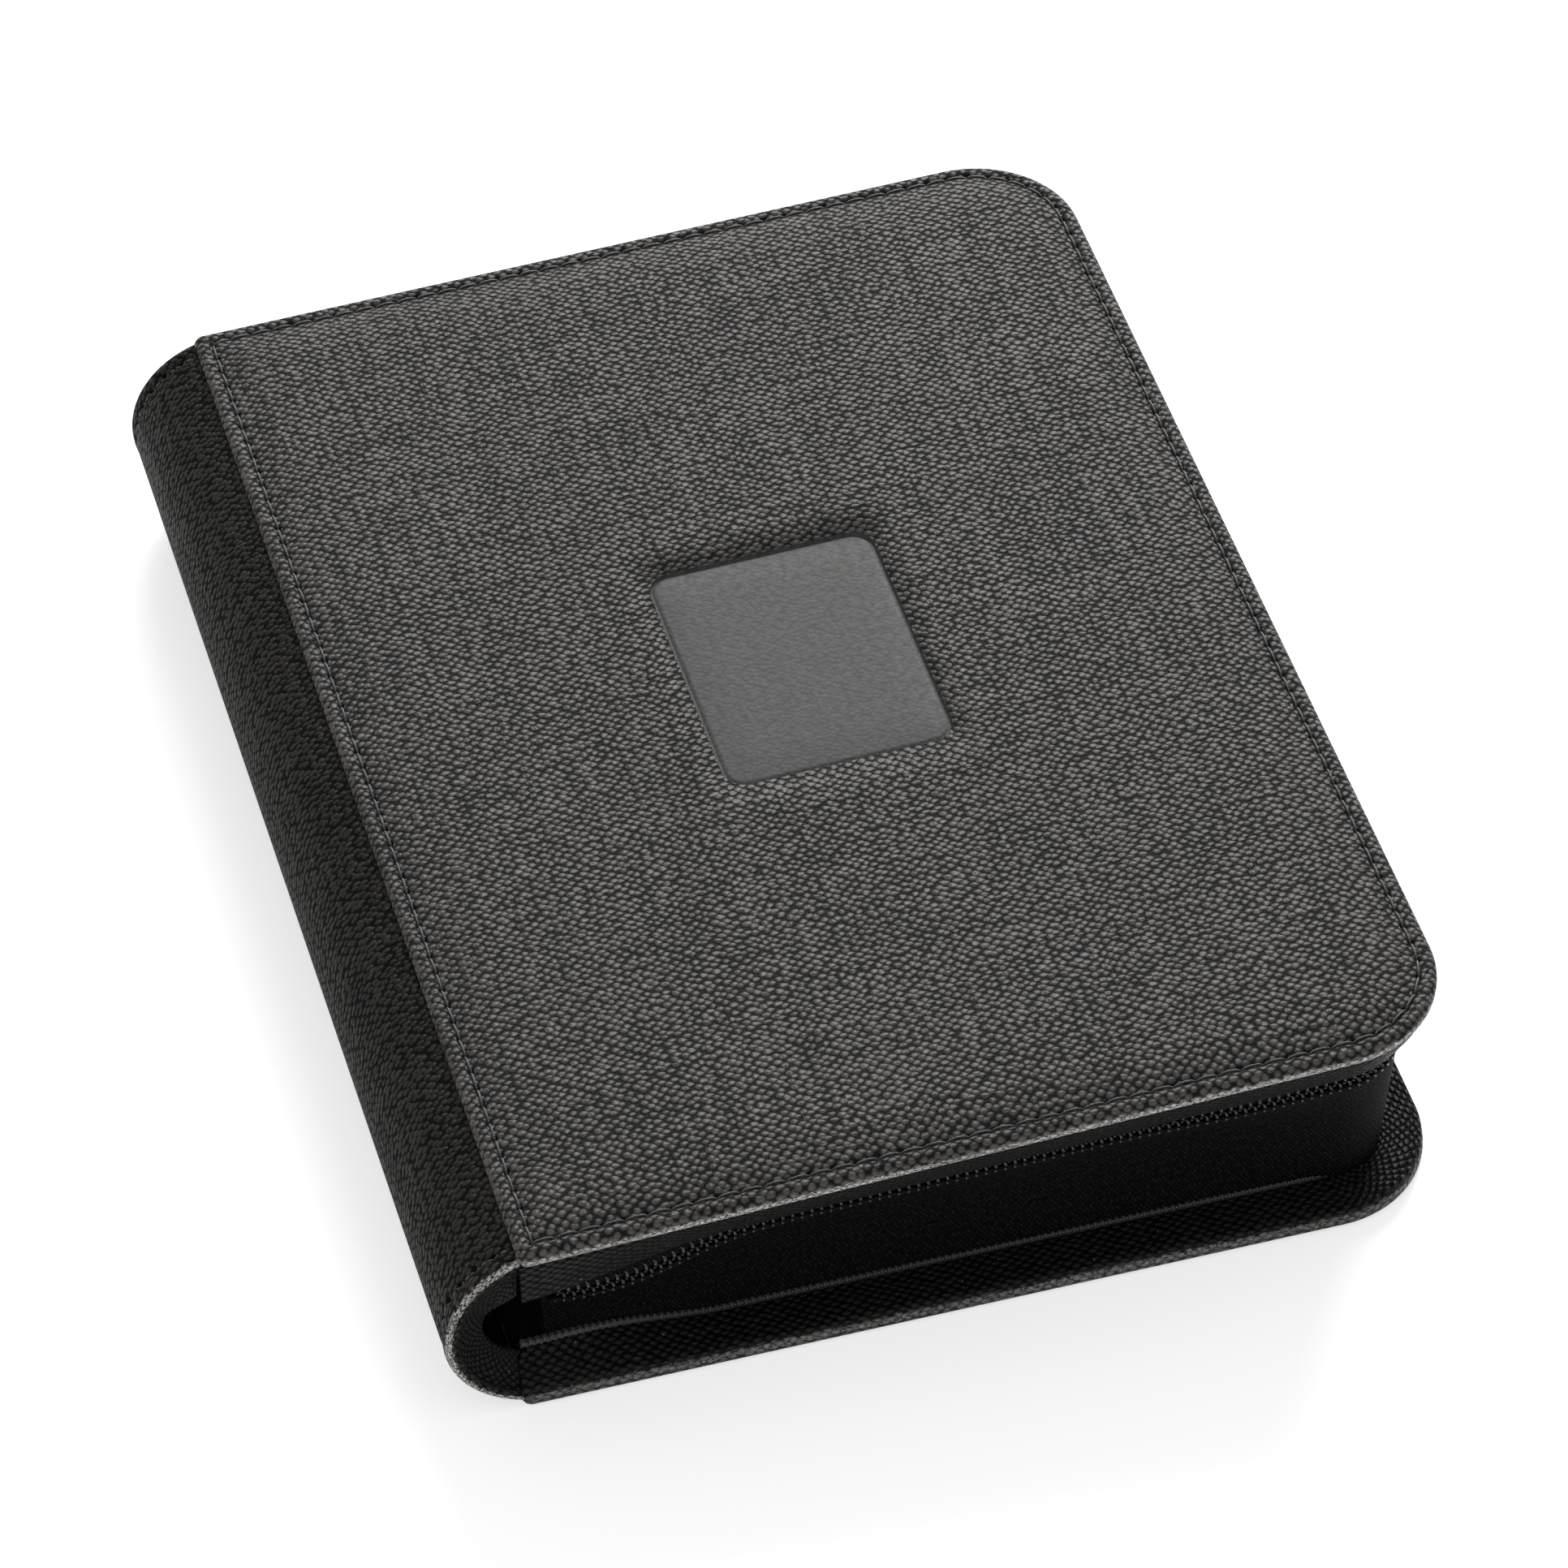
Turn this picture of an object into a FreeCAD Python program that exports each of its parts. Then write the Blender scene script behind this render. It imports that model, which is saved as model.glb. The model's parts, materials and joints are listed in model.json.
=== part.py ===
import FreeCAD, Part
import math
import os
import Sketcher

# Zip-up card binder lying on its back cover. Millimetres, +Z up.
# X runs from the spine to the fore edge, Y along the spine.
# The origin is the middle of the back cover's outer face.

os.makedirs("parts", exist_ok=True)
doc = FreeCAD.newDocument("card_binder")

SIZES = {
    # covers
    "cover_length": 215.0,
    "cover_width": 150.5,
    "corner_radius": 18.5,
    "skin_thickness": 0.8,
    "foam_thickness": 0.8,
    "board_thickness": 1.2,
    "liner_thickness": 0.4,
    "layer_clearance": 0.1,
    "lid_tilt": 2.25,
    # spine, a half-round shell between the two covers
    "spine_height": 34.8,
    "spine_bulge": 11.6,
    "spine_step": 0.5,
    "spine_end_step": 0.8,
    "stiffener_thickness": 0.8,
    "spine_liner_thickness": 0.5,
    "seam_gap": 0.3,
    "hinge_depth": 0.7,
    # turned-in hems
    "hem_width": 8.0,
    "hem_thickness": 0.8,
    "hem_slope": 17.0,
    "hem_edge_inset": 0.4,
    # stitching
    "stitch_inset": 2.8,
    "stitch_pitch": 3.6,
    "stitch_length": 2.6,
    "thread_width": 0.6,
    "thread_height": 0.25,
    "groove_width": 1.0,
    "groove_depth": 0.35,
    # blank debossed panel
    "panel_width": 38.0,
    "panel_length": 50.0,
    "panel_radius": 4.0,
    "panel_depth": 0.3,
    # zipper
    "tape_inset": 6.0,
    "tape_thickness": 0.6,
    "tape_start": 3.5,
    "coil_depth": 1.6,
    "coil_height": 1.3,
    "coil_gap": 1.2,
    "chain_drop": 14.0,
    "stop_length": 2.0,
    # slider and pull
    "slider_park": 6.0,
    "slider_length": 10.0,
    "slider_width": 7.2,
    "plate_thickness": 0.9,
    "slider_channel": 2.4,
    "tape_slot": 1.2,
    "flange_width": 1.2,
    "post_width": 0.8,
    "post_length": 2.0,
    "slider_room": 5.0,
    "bridge_length": 6.4,
    "bridge_width": 1.6,
    "bridge_bar": 0.8,
    "bridge_room": 1.5,
    "pull_bar": 1.0,
    "pull_ring_length": 7.8,
    "pull_ring_width": 4.6,
    "pull_arm": 0.8,
    "pull_tab_length": 18.0,
    "pull_tab_width": 5.0,
    "pull_tab_thickness": 1.4,
    "pull_neck_length": 2.6,
    "pull_neck_thickness": 2.2,
    "pull_clearance": 0.1,
    # pages and what binds them
    "strip_thickness": 1.0,
    "strip_inset": 1.4,
    "strip_clearance": 0.05,
    "page_end_margin": 12.5,
    "page_fore_margin": 9.5,
    "page_hinge_gap": 0.3,
    "page_stack_margin": 0.8,
    "page_gap": 0.3,
    "page_core": 0.4,
    "page_tab": 9.0,
    "page_weld": 1.5,
}
PAGE_COUNT = 20

sheet = doc.addObject("Spreadsheet::Sheet", "dims")
for row, (alias, value) in enumerate(SIZES.items(), start=1):
    sheet.set("A%d" % row, alias)
    sheet.set("B%d" % row, str(value))
    sheet.setAlias("B%d" % row, alias)
doc.recompute()


def size(alias):
    """One driving dimension, read back from the sheet."""
    return float(getattr(sheet, alias))


# Lengths and places that several pieces share, as expressions on the sheet.
HALF_WIDTH = "dims.cover_width / 2"
HALF_LENGTH = "dims.cover_length / 2"
COVER = "(dims.skin_thickness + dims.foam_thickness + dims.board_thickness + dims.liner_thickness)"
FRONT_INNER = "(dims.spine_height - %s)" % COVER
BACK_INNER = COVER
LAYER_INSET = "(dims.skin_thickness + dims.layer_clearance)"
CHAIN_LEVEL = "(dims.spine_height - dims.chain_drop)"
CHAIN_EDGE = "(dims.coil_gap / 2 + dims.coil_height)"
COIL_START = "(dims.tape_start + dims.stop_length)"
SPINE_OUTER = "(dims.spine_height / 2 - dims.spine_step)"
SPINE_CENTRE = "(%s - dims.spine_bulge)" % SPINE_OUTER
SPINE_INNER = "(%s - dims.skin_thickness - dims.stiffener_thickness - dims.spine_liner_thickness)" % SPINE_OUTER
STRIP_HALF = "(sqrt(%s ^ 2 - (%s + dims.strip_inset + dims.strip_thickness) ^ 2) - dims.strip_clearance)" % (
    SPINE_INNER, SPINE_CENTRE)
PAGE_HALF_LENGTH = "(dims.cover_length / 2 - dims.page_end_margin)"
PAGE_PITCH = "((2 * %s - 2 * dims.page_stack_margin) / %d)" % (STRIP_HALF, PAGE_COUNT)
POUCH = "((%s - dims.page_gap - dims.page_core) / 2)" % PAGE_PITCH
# The back of the tilted lid, so that what rides on it can be built level and then turned.
LID_TURN = (
    "create(<<placement>>; create(<<vector>>; 0; 0; 0);"
    " create(<<rotation>>; create(<<vector>>; 0; -1; 0); dims.lid_tilt);"
    " create(<<vector>>; -dims.cover_width / 2; 0; dims.spine_height - dims.hinge_depth))"
)


# ---------------------------------------------------------------- helpers
def bind(thing, **expressions):
    """Bind properties of a feature to expressions; a double underscore stands for a dot."""
    for path, expression in expressions.items():
        thing.setExpression(path.replace("__", "."), expression)


def value_of(expression):
    """What an expression on the sheet comes to, as a plain number."""
    return float(sheet.evalExpression(expression))


def tilt_with_lid(thing):
    thing.setExpression("Placement", LID_TURN)


def new_sketch(body, name, role="XY_Plane", level=None):
    """A sketch on one of the body's own origin planes, lifted by an expression."""
    plane = next(p for p in body.Origin.OriginFeatures if p.Role == role)
    sketch = body.newObject("Sketcher::SketchObject", name)
    sketch.AttachmentSupport = [(plane, "")]
    sketch.MapMode = "FlatFace"
    if level:
        sketch.setExpression("AttachmentOffset.Base.z", level)
    return sketch


def point(x, y):
    return FreeCAD.Vector(x, y, 0)


def line(sketch, start, end):
    return sketch.addGeometry(Part.LineSegment(point(*start), point(*end)))


def arc(sketch, centre, radius, first, last):
    circle = Part.Circle(point(*centre), FreeCAD.Vector(0, 0, 1), radius)
    return sketch.addGeometry(Part.ArcOfCircle(circle, math.radians(first), math.radians(last)))


def dimension(sketch, kind, name, expression, *where):
    """A named dimension of a sketch, bound to the sheet."""
    index = sketch.addConstraint(Sketcher.Constraint(kind, *where, abs(value_of(expression))))
    sketch.renameConstraint(index, name)
    sketch.setExpression("Constraints." + name, expression)


def cover_outline(sketch, tag, inset, left):
    """The cover's outline: square at the spine, rounded at the fore edge.

    inset moves the three free edges inwards; left is how far its spine side lies inside the seam.
    """
    left_x = "(%s - (%s))" % (HALF_WIDTH, left)
    right_x = "(%s - (%s))" % (HALF_WIDTH, inset)
    half_y = "(%s - (%s))" % (HALF_LENGTH, inset)
    radius = "(dims.corner_radius - (%s))" % inset
    xl, xr, y, r = -value_of(left_x), value_of(right_x), value_of(half_y), value_of(radius)
    near = line(sketch, (xl, -y), (xr - r, -y))
    near_corner = arc(sketch, (xr - r, r - y), r, -90, 0)
    fore = line(sketch, (xr, r - y), (xr, y - r))
    far_corner = arc(sketch, (xr - r, y - r), r, 0, 90)
    far = line(sketch, (xr - r, y), (xl, y))
    seam = line(sketch, (xl, y), (xl, -y))
    for first, second in ((near, near_corner), (near_corner, fore), (fore, far_corner), (far_corner, far)):
        sketch.addConstraint(Sketcher.Constraint("Tangent", first, 2, second, 1))
    for first, second in ((far, seam), (seam, near)):
        sketch.addConstraint(Sketcher.Constraint("Coincident", first, 2, second, 1))
    for upright in (fore, seam):
        sketch.addConstraint(Sketcher.Constraint("Vertical", upright))
    for level_edge in (near, far):
        sketch.addConstraint(Sketcher.Constraint("Horizontal", level_edge))
    sketch.addConstraint(Sketcher.Constraint("Equal", near_corner, far_corner))
    dimension(sketch, "DistanceX", "left_" + tag, left_x, seam, 1, -1, 1)
    dimension(sketch, "DistanceX", "right_" + tag, right_x, -1, 1, fore, 1)
    dimension(sketch, "DistanceY", "near_" + tag, half_y, near, 1, -1, 1)
    dimension(sketch, "DistanceY", "far_" + tag, half_y, -1, 1, far, 1)
    dimension(sketch, "Radius", "corner_" + tag, radius, near_corner)


def pad(body, sketch, length, down=False, taper=None):
    feature = body.newObject("PartDesign::Pad", sketch.Name + "_pad")
    feature.Profile = sketch
    feature.Reversed = down
    feature.setExpression("Length", length)
    if taper:
        feature.setExpression("TaperAngle", taper)
    sketch.Visibility = False
    doc.recompute()
    return feature


def pocket(body, sketch, depth, up=False, taper=None):
    """Cut a sketch into the body, and make sure that it really took something away."""
    before = body.Shape.Volume
    feature = body.newObject("PartDesign::Pocket", sketch.Name + "_cut")
    feature.Profile = sketch
    feature.Reversed = up
    feature.setExpression("Length", depth)
    if taper:
        feature.setExpression("TaperAngle", taper)
    doc.recompute()
    if body.Shape.Volume >= before:
        raise RuntimeError("%s cuts nothing" % feature.Name)
    return feature


def new_body(name):
    body = doc.addObject("PartDesign::Body", name)
    body.Label = name
    return body


def box(name, length, width, height, x, y, z):
    """A block whose sizes and corner are all expressions."""
    block = doc.addObject("Part::Box", name)
    bind(block, Length=length, Width=width, Height=height)
    bind(block, Placement__Base__x=x, Placement__Base__y=y, Placement__Base__z=z)
    return block


def fuse(name, pieces):
    joined = doc.addObject("Part::MultiFuse", name)
    joined.Shapes = pieces
    joined.Refine = True
    joined.Label = name
    return joined


def cut(name, base, tool):
    result = doc.addObject("Part::Cut", name)
    result.Base = base
    result.Tool = tool
    result.Label = name
    return result


def band(name, outer, inner, left, level, height, down=False, slope=None):
    """A U-shaped band round the three free edges, open at the spine.

    outer and inner are the insets of its two faces at the given level; a slope leans it inwards.
    """
    body = new_body(name)
    taper = "-(%s)" % slope if slope else None
    outside = new_sketch(body, name + "_outside", level=level)
    cover_outline(outside, "a", outer, left)
    pad(body, outside, height, down=down, taper=taper)
    inside = new_sketch(body, name + "_inside", level=level)
    cover_outline(inside, "b", inner, "(%s) - dims.hem_width" % left)
    pocket(body, inside, height, up=not down, taper=taper)
    return body


sub_parts = []


def keep(*pieces):
    sub_parts.extend(pieces)


# ---------------------------------------------------------------- covers
def skin(name, level, opens_up):
    """Leatherette skin: a shallow tray whose rim wraps the cover's edge, grooved for its stitches."""
    body = new_body(name)
    outline = new_sketch(body, name + "_outline", level=level)
    cover_outline(outline, "a", "0", "0")
    pad(body, outline, COVER)
    top = "(%s + %s)" % (level, COVER)
    tray = new_sketch(body, name + "_tray", level=top if opens_up else level)
    cover_outline(tray, "a", "dims.skin_thickness", "dims.skin_thickness")
    pocket(body, tray, "%s - dims.skin_thickness" % COVER, up=not opens_up)
    groove = new_sketch(body, name + "_groove", level=level if opens_up else top)
    for tag, side in (("a", "-"), ("b", "+")):
        inset = "(dims.stitch_inset %s dims.groove_width / 2)" % side
        cover_outline(groove, tag, inset, inset)
    pocket(body, groove, "dims.groove_depth", up=opens_up)
    return body


def blank_panel(body):
    """A smooth, plain debossed panel in the middle of the front cover."""
    sketch = new_sketch(body, "front_panel", level="dims.spine_height")
    x = size("panel_width") / 2
    y = size("panel_length") / 2
    r = size("panel_radius")
    near = line(sketch, (r - x, -y), (x - r, -y))
    corner_a = arc(sketch, (x - r, r - y), r, -90, 0)
    right = line(sketch, (x, r - y), (x, y - r))
    corner_b = arc(sketch, (x - r, y - r), r, 0, 90)
    far = line(sketch, (x - r, y), (r - x, y))
    corner_c = arc(sketch, (r - x, y - r), r, 90, 180)
    left = line(sketch, (-x, y - r), (-x, r - y))
    corner_d = arc(sketch, (r - x, r - y), r, 180, 270)
    loop = (near, corner_a, right, corner_b, far, corner_c, left, corner_d)
    for first, second in zip(loop, loop[1:] + loop[:1]):
        sketch.addConstraint(Sketcher.Constraint("Tangent", first, 2, second, 1))
    for corner in (corner_b, corner_c, corner_d):
        sketch.addConstraint(Sketcher.Constraint("Equal", corner_a, corner))
    sketch.addConstraint(Sketcher.Constraint("Horizontal", near))
    sketch.addConstraint(Sketcher.Constraint("Vertical", right))
    dimension(sketch, "DistanceX", "half_right", "dims.panel_width / 2", -1, 1, right, 1)
    dimension(sketch, "DistanceX", "half_left", "dims.panel_width / 2", left, 1, -1, 1)
    dimension(sketch, "DistanceY", "half_near", "dims.panel_length / 2", near, 1, -1, 1)
    dimension(sketch, "DistanceY", "half_far", "dims.panel_length / 2", -1, 1, far, 1)
    dimension(sketch, "Radius", "corner", "dims.panel_radius", corner_a)
    pocket(body, sketch, "dims.panel_depth")


def layer(name, level, thickness):
    """One flat layer that lies inside the skin's rim."""
    body = new_body(name)
    outline = new_sketch(body, name + "_outline", level=level)
    cover_outline(outline, "a", LAYER_INSET, LAYER_INSET)
    pad(body, outline, thickness)
    return body


back_skin = skin("back_skin", "0", opens_up=True)
back_foam = layer("back_foam", "dims.skin_thickness", "dims.foam_thickness")
back_board = layer("back_board", "dims.skin_thickness + dims.foam_thickness", "dims.board_thickness")
back_liner = layer("back_liner", "%s - dims.liner_thickness" % BACK_INNER, "dims.liner_thickness")
keep(back_skin, back_foam, back_board, back_liner)

front_skin = skin("front_skin", FRONT_INNER, opens_up=False)
blank_panel(front_skin)
front_foam = layer(
    "front_foam", "dims.spine_height - dims.skin_thickness - dims.foam_thickness", "dims.foam_thickness")
front_board = layer("front_board", "%s + dims.liner_thickness" % FRONT_INNER, "dims.board_thickness")
front_liner = layer("front_liner", FRONT_INNER, "dims.liner_thickness")
keep(front_skin, front_foam, front_board, front_liner)

# The back hem lies flat on the cover; the front hem hangs from the cover's edge.
back_hem = band("back_hem", "dims.hem_edge_inset", "dims.hem_width", "dims.hem_edge_inset",
                BACK_INNER, "dims.hem_thickness")
front_hem = band("front_hem", "dims.hem_edge_inset",
                 "dims.hem_edge_inset + dims.hem_thickness / cos(dims.hem_slope * 1 deg)", "dims.hem_edge_inset",
                 FRONT_INNER, "dims.hem_width * cos(dims.hem_slope * 1 deg)", down=True, slope="dims.hem_slope")
keep(back_hem, front_hem)


# ---------------------------------------------------------------- zipper
front_tape = band(
    "front_zipper_tape", "dims.tape_inset - dims.tape_thickness / 2", "dims.tape_inset + dims.tape_thickness / 2",
    "dims.tape_start", "%s + %s" % (CHAIN_LEVEL, CHAIN_EDGE),
    "%s - %s - %s" % (FRONT_INNER, CHAIN_LEVEL, CHAIN_EDGE))
front_coil = band(
    "front_zipper_coil", "dims.tape_inset - dims.coil_depth / 2", "dims.tape_inset + dims.coil_depth / 2",
    COIL_START, "%s + dims.coil_gap / 2" % CHAIN_LEVEL, "dims.coil_height")
keep(front_tape, front_coil)

# The back tape stands on the back hem and is trimmed along the tilted chain.
tape_wall = band(
    "tape_wall", "dims.tape_inset - dims.tape_thickness / 2", "dims.tape_inset + dims.tape_thickness / 2",
    "dims.tape_start", "%s + dims.hem_thickness" % BACK_INNER, "dims.spine_height")
above_chain = box(
    "above_chain", "2 * dims.cover_width", "2 * dims.cover_length", "2 * dims.spine_height",
    "-dims.cover_width", "-dims.cover_length", "%s - %s" % (CHAIN_LEVEL, CHAIN_EDGE))
# At the far end both back tape and back coil stop short of the parked slider.
parking = box(
    "slider_parking", "dims.slider_park + dims.slider_length + dims.slider_room", "dims.cover_length / 2",
    "dims.spine_height", "-dims.cover_width / 2", "0", "%s - dims.slider_width / 2 - dims.slider_room / 4"
    % CHAIN_LEVEL)


def turned(name, pieces):
    """Tools for a cut, turned with the lid."""
    group = doc.addObject("Part::Compound", name)
    group.Links = pieces
    tilt_with_lid(group)
    return group


back_tape = cut("back_zipper_tape", tape_wall, turned("tape_trim", [above_chain, parking]))
coil_bar = band(
    "coil_bar", "dims.tape_inset - dims.coil_depth / 2", "dims.tape_inset + dims.coil_depth / 2",
    COIL_START, "%s - %s" % (CHAIN_LEVEL, CHAIN_EDGE), "dims.coil_height")
back_coil = cut("back_zipper_coil", coil_bar, parking)
keep(back_tape, back_coil)

CHAIN_Y = "(%s - dims.tape_inset)" % HALF_LENGTH
SEAM_X = "(-dims.cover_width / 2)"


def stop(name, side, above):
    """A moulded end stop: the last block of a coil, at the near (-1) or far (+1) side."""
    level = "%s + dims.coil_gap / 2" % CHAIN_LEVEL if above else "%s - %s" % (CHAIN_LEVEL, CHAIN_EDGE)
    return box(name, "dims.stop_length", "dims.coil_depth", "dims.coil_height",
               "%s + dims.tape_start" % SEAM_X, "%d * %s - dims.coil_depth / 2" % (side, CHAIN_Y), level)


def stops(name, pieces):
    group = doc.addObject("Part::Compound", name)
    group.Links = pieces
    group.Label = name
    return group


front_stops = stops("front_coil_stops", [stop("front_near_stop", -1, True), stop("front_far_stop", 1, True)])
back_stop = stops("back_coil_stop", [stop("back_near_stop", -1, False)])
keep(front_stops, back_stop)


# ---------------------------------------------------------------- slider and pull
SLIDER_X = "(%s + dims.slider_park)" % SEAM_X
OUTER_FACE = "(%s + dims.slider_channel / 2)" % CHAIN_Y
FLANGE_DEPTH = "((dims.slider_channel - dims.tape_slot) / 2)"


def slider_body():
    """Two plates joined by the post that parts the coils, with flanges that keep the tapes in."""
    bottom = "%s - dims.slider_width / 2" % CHAIN_LEVEL
    length, wide = "dims.slider_length", "dims.slider_width"
    pieces = [
        box("outer_plate", length, "dims.plate_thickness", wide, SLIDER_X, OUTER_FACE, bottom),
        box("inner_plate", length, "dims.plate_thickness", wide, SLIDER_X,
            "%s - dims.slider_channel / 2 - dims.plate_thickness" % CHAIN_Y, bottom),
        box("post", "dims.post_length", "dims.slider_channel", "dims.post_width", SLIDER_X,
            "%s - dims.slider_channel / 2" % CHAIN_Y, "%s - dims.post_width / 2" % CHAIN_LEVEL),
    ]
    for end, flange_level in (("lower", bottom), ("upper", "%s + dims.slider_width / 2 - dims.flange_width"
                                                  % CHAIN_LEVEL)):
        for face, flange_y in (("outer", "%s + dims.tape_slot / 2" % CHAIN_Y),
                               ("inner", "%s - dims.slider_channel / 2" % CHAIN_Y)):
            pieces.append(box("%s_%s_flange" % (end, face), length, FLANGE_DEPTH, "dims.flange_width",
                              SLIDER_X, flange_y, flange_level))
    return fuse("slider_body", pieces)


PIVOT_X = "(%s + dims.slider_length / 2)" % SLIDER_X
PIVOT_Y = "(%s + dims.plate_thickness + dims.bridge_room / 2)" % OUTER_FACE
BRIDGE_FOOT_Y = "(%s + dims.plate_thickness)" % OUTER_FACE


def slider_bridge():
    """The arch on the slider's outer plate that the pull hangs in."""
    left = "%s - dims.bridge_length / 2" % PIVOT_X
    level = "%s - dims.bridge_width / 2" % CHAIN_LEVEL
    rise = "dims.bridge_room + dims.bridge_bar"
    return fuse("slider_bridge", [
        box("bridge_foot_a", "dims.bridge_bar", rise, "dims.bridge_width", left, BRIDGE_FOOT_Y, level),
        box("bridge_foot_b", "dims.bridge_bar", rise, "dims.bridge_width",
            "%s + dims.bridge_length - dims.bridge_bar" % left, BRIDGE_FOOT_Y, level),
        box("bridge_top", "dims.bridge_length", "dims.bridge_bar", "dims.bridge_width", left,
            "%s + dims.bridge_room" % BRIDGE_FOOT_Y, level),
    ])


def ring_bar(name, x, length, z, width):
    return box(name, length, "dims.pull_bar", width, x, "%s - dims.pull_bar / 2" % PIVOT_Y, z)


RING_BOTTOM = "(%s - dims.pull_ring_width / 2)" % CHAIN_LEVEL
RING_END = "(%s + dims.pull_ring_length - dims.pull_bar * 1.5)" % PIVOT_X


def pull_ring():
    """A wire link: a round bar under the bridge, two arms and an end bar."""
    pivot = doc.addObject("Part::Cylinder", "pivot_bar")
    bind(pivot, Radius="dims.pull_bar / 2", Height="dims.pull_ring_width", Placement__Base__x=PIVOT_X,
         Placement__Base__y=PIVOT_Y, Placement__Base__z=RING_BOTTOM)
    arm = "dims.pull_ring_length - dims.pull_bar / 2"
    return fuse("pull_ring", [
        pivot,
        ring_bar("lower_arm", PIVOT_X, arm, RING_BOTTOM, "dims.pull_arm"),
        ring_bar("upper_arm", PIVOT_X, arm, "%s + dims.pull_ring_width - dims.pull_arm" % RING_BOTTOM,
                 "dims.pull_arm"),
        ring_bar("end_bar", RING_END, "dims.pull_bar", RING_BOTTOM, "dims.pull_ring_width"),
    ])


def pull_tab():
    """A leatherette strip folded round the ring's end bar and stitched to itself."""
    neck_x = "(%s - dims.pull_bar / 2 - dims.pull_clearance)" % RING_END
    neck_width = "(dims.pull_ring_width - 2 * dims.pull_arm - 2 * dims.pull_clearance)"
    strip = fuse("pull_strip", [
        box("pull_neck", "dims.pull_neck_length + dims.pull_bar", "dims.pull_neck_thickness", neck_width, neck_x,
            "%s - dims.pull_neck_thickness / 2" % PIVOT_Y, "%s - %s / 2" % (CHAIN_LEVEL, neck_width)),
        box("pull_leather", "dims.pull_tab_length", "dims.pull_tab_thickness", "dims.pull_tab_width",
            "%s + dims.pull_neck_length" % neck_x, "%s - dims.pull_tab_thickness / 2" % PIVOT_Y,
            "%s - dims.pull_tab_width / 2" % CHAIN_LEVEL),
    ])
    tunnel = box("pull_tunnel", "dims.pull_bar + 2 * dims.pull_clearance",
                 "dims.pull_bar + 2 * dims.pull_clearance", "dims.pull_tab_width",
                 "%s - dims.pull_clearance" % RING_END, "%s - dims.pull_bar / 2 - dims.pull_clearance" % PIVOT_Y,
                 "%s - dims.pull_tab_width / 2" % CHAIN_LEVEL)
    return cut("pull_tab", strip, tunnel)


slider_parts = [slider_body(), slider_bridge(), pull_ring(), pull_tab()]
keep(*slider_parts)


# ---------------------------------------------------------------- spine
def spine_shell(name, outer, thickness, length, y="0"):
    """Part of a tube: one half-round layer of the spine, cut off upright just outside the seam."""
    body = new_body(name)
    sketch = new_sketch(body, name + "_section", role="XZ_Plane")
    inner = "(%s - %s)" % (outer, thickness)
    edge_x = "(%s + dims.seam_gap)" % HALF_WIDTH
    centre = (value_of("%s + %s" % (SEAM_X, SPINE_CENTRE)), value_of("dims.spine_height / 2"))
    arcs = []
    ends = []
    for radius in (outer, inner):
        r = value_of(radius)
        turn = math.degrees(math.acos((-value_of(edge_x) - centre[0]) / r))
        arcs.append(arc(sketch, centre, r, turn, 360 - turn))
        rise = math.sqrt(r * r - (value_of(edge_x) + centre[0]) ** 2)
        ends.append((centre[1] + rise, centre[1] - rise))
    for end, (outside_z, inside_z) in enumerate(zip(*ends), start=1):
        edge = line(sketch, (-value_of(edge_x), outside_z), (-value_of(edge_x), inside_z))
        sketch.addConstraint(Sketcher.Constraint("Coincident", arcs[0], end, edge, 1))
        sketch.addConstraint(Sketcher.Constraint("Coincident", arcs[1], end, edge, 2))
        sketch.addConstraint(Sketcher.Constraint("Vertical", edge))
    sketch.addConstraint(Sketcher.Constraint("Coincident", arcs[0], 3, arcs[1], 3))
    dimension(sketch, "DistanceX", "centre_x", "%s - %s" % (HALF_WIDTH, SPINE_CENTRE), arcs[0], 3, -1, 1)
    dimension(sketch, "DistanceY", "centre_z", "dims.spine_height / 2", -1, 1, arcs[0], 3)
    dimension(sketch, "DistanceX", "edge_x", edge_x, arcs[0], 1, -1, 1)
    dimension(sketch, "Radius", "outer_radius", outer, arcs[0])
    dimension(sketch, "Radius", "inner_radius", inner, arcs[1])
    feature = pad(body, sketch, length)
    feature.Midplane = True
    body.setExpression("Placement.Base.y", y)
    return body


SPINE_LENGTH = "(dims.cover_length - 2 * dims.spine_end_step)"
STIFFENER_OUTER = "(%s - dims.skin_thickness)" % SPINE_OUTER
LINER_OUTER = "(%s - dims.stiffener_thickness)" % STIFFENER_OUTER
# The spine's hems stand inwards from its ends, like a flange, as the zipper's pull leaves them.
HEM_Y = "(%s / 2 - dims.hem_thickness / 2)" % SPINE_LENGTH
HEM_REACH = "(dims.hem_width - %s + %s)" % (SPINE_OUTER, SPINE_INNER)
spine_skin = spine_shell("spine_skin", SPINE_OUTER, "dims.skin_thickness", SPINE_LENGTH)
spine_stiffener = spine_shell("spine_stiffener", STIFFENER_OUTER, "dims.stiffener_thickness", SPINE_LENGTH)
spine_liner = spine_shell("spine_liner", LINER_OUTER, "dims.spine_liner_thickness", SPINE_LENGTH)
near_hem = spine_shell("near_spine_hem", SPINE_INNER, HEM_REACH, "dims.hem_thickness", "-" + HEM_Y)
far_hem = spine_shell("far_spine_hem", SPINE_INNER, HEM_REACH, "dims.hem_thickness", HEM_Y)
keep(spine_skin, spine_stiffener, spine_liner, near_hem, far_hem)

# The strip stands as a chord inside the spine and is glued to its lining along both edges.
STRIP_X = "(%s - dims.strip_inset - dims.strip_thickness)" % SEAM_X
binding_strip = box("binding_strip", "dims.strip_thickness", "2 * " + PAGE_HALF_LENGTH, "2 * " + STRIP_HALF,
                    STRIP_X, "-" + PAGE_HALF_LENGTH, "dims.spine_height / 2 - " + STRIP_HALF)
keep(binding_strip)


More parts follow.
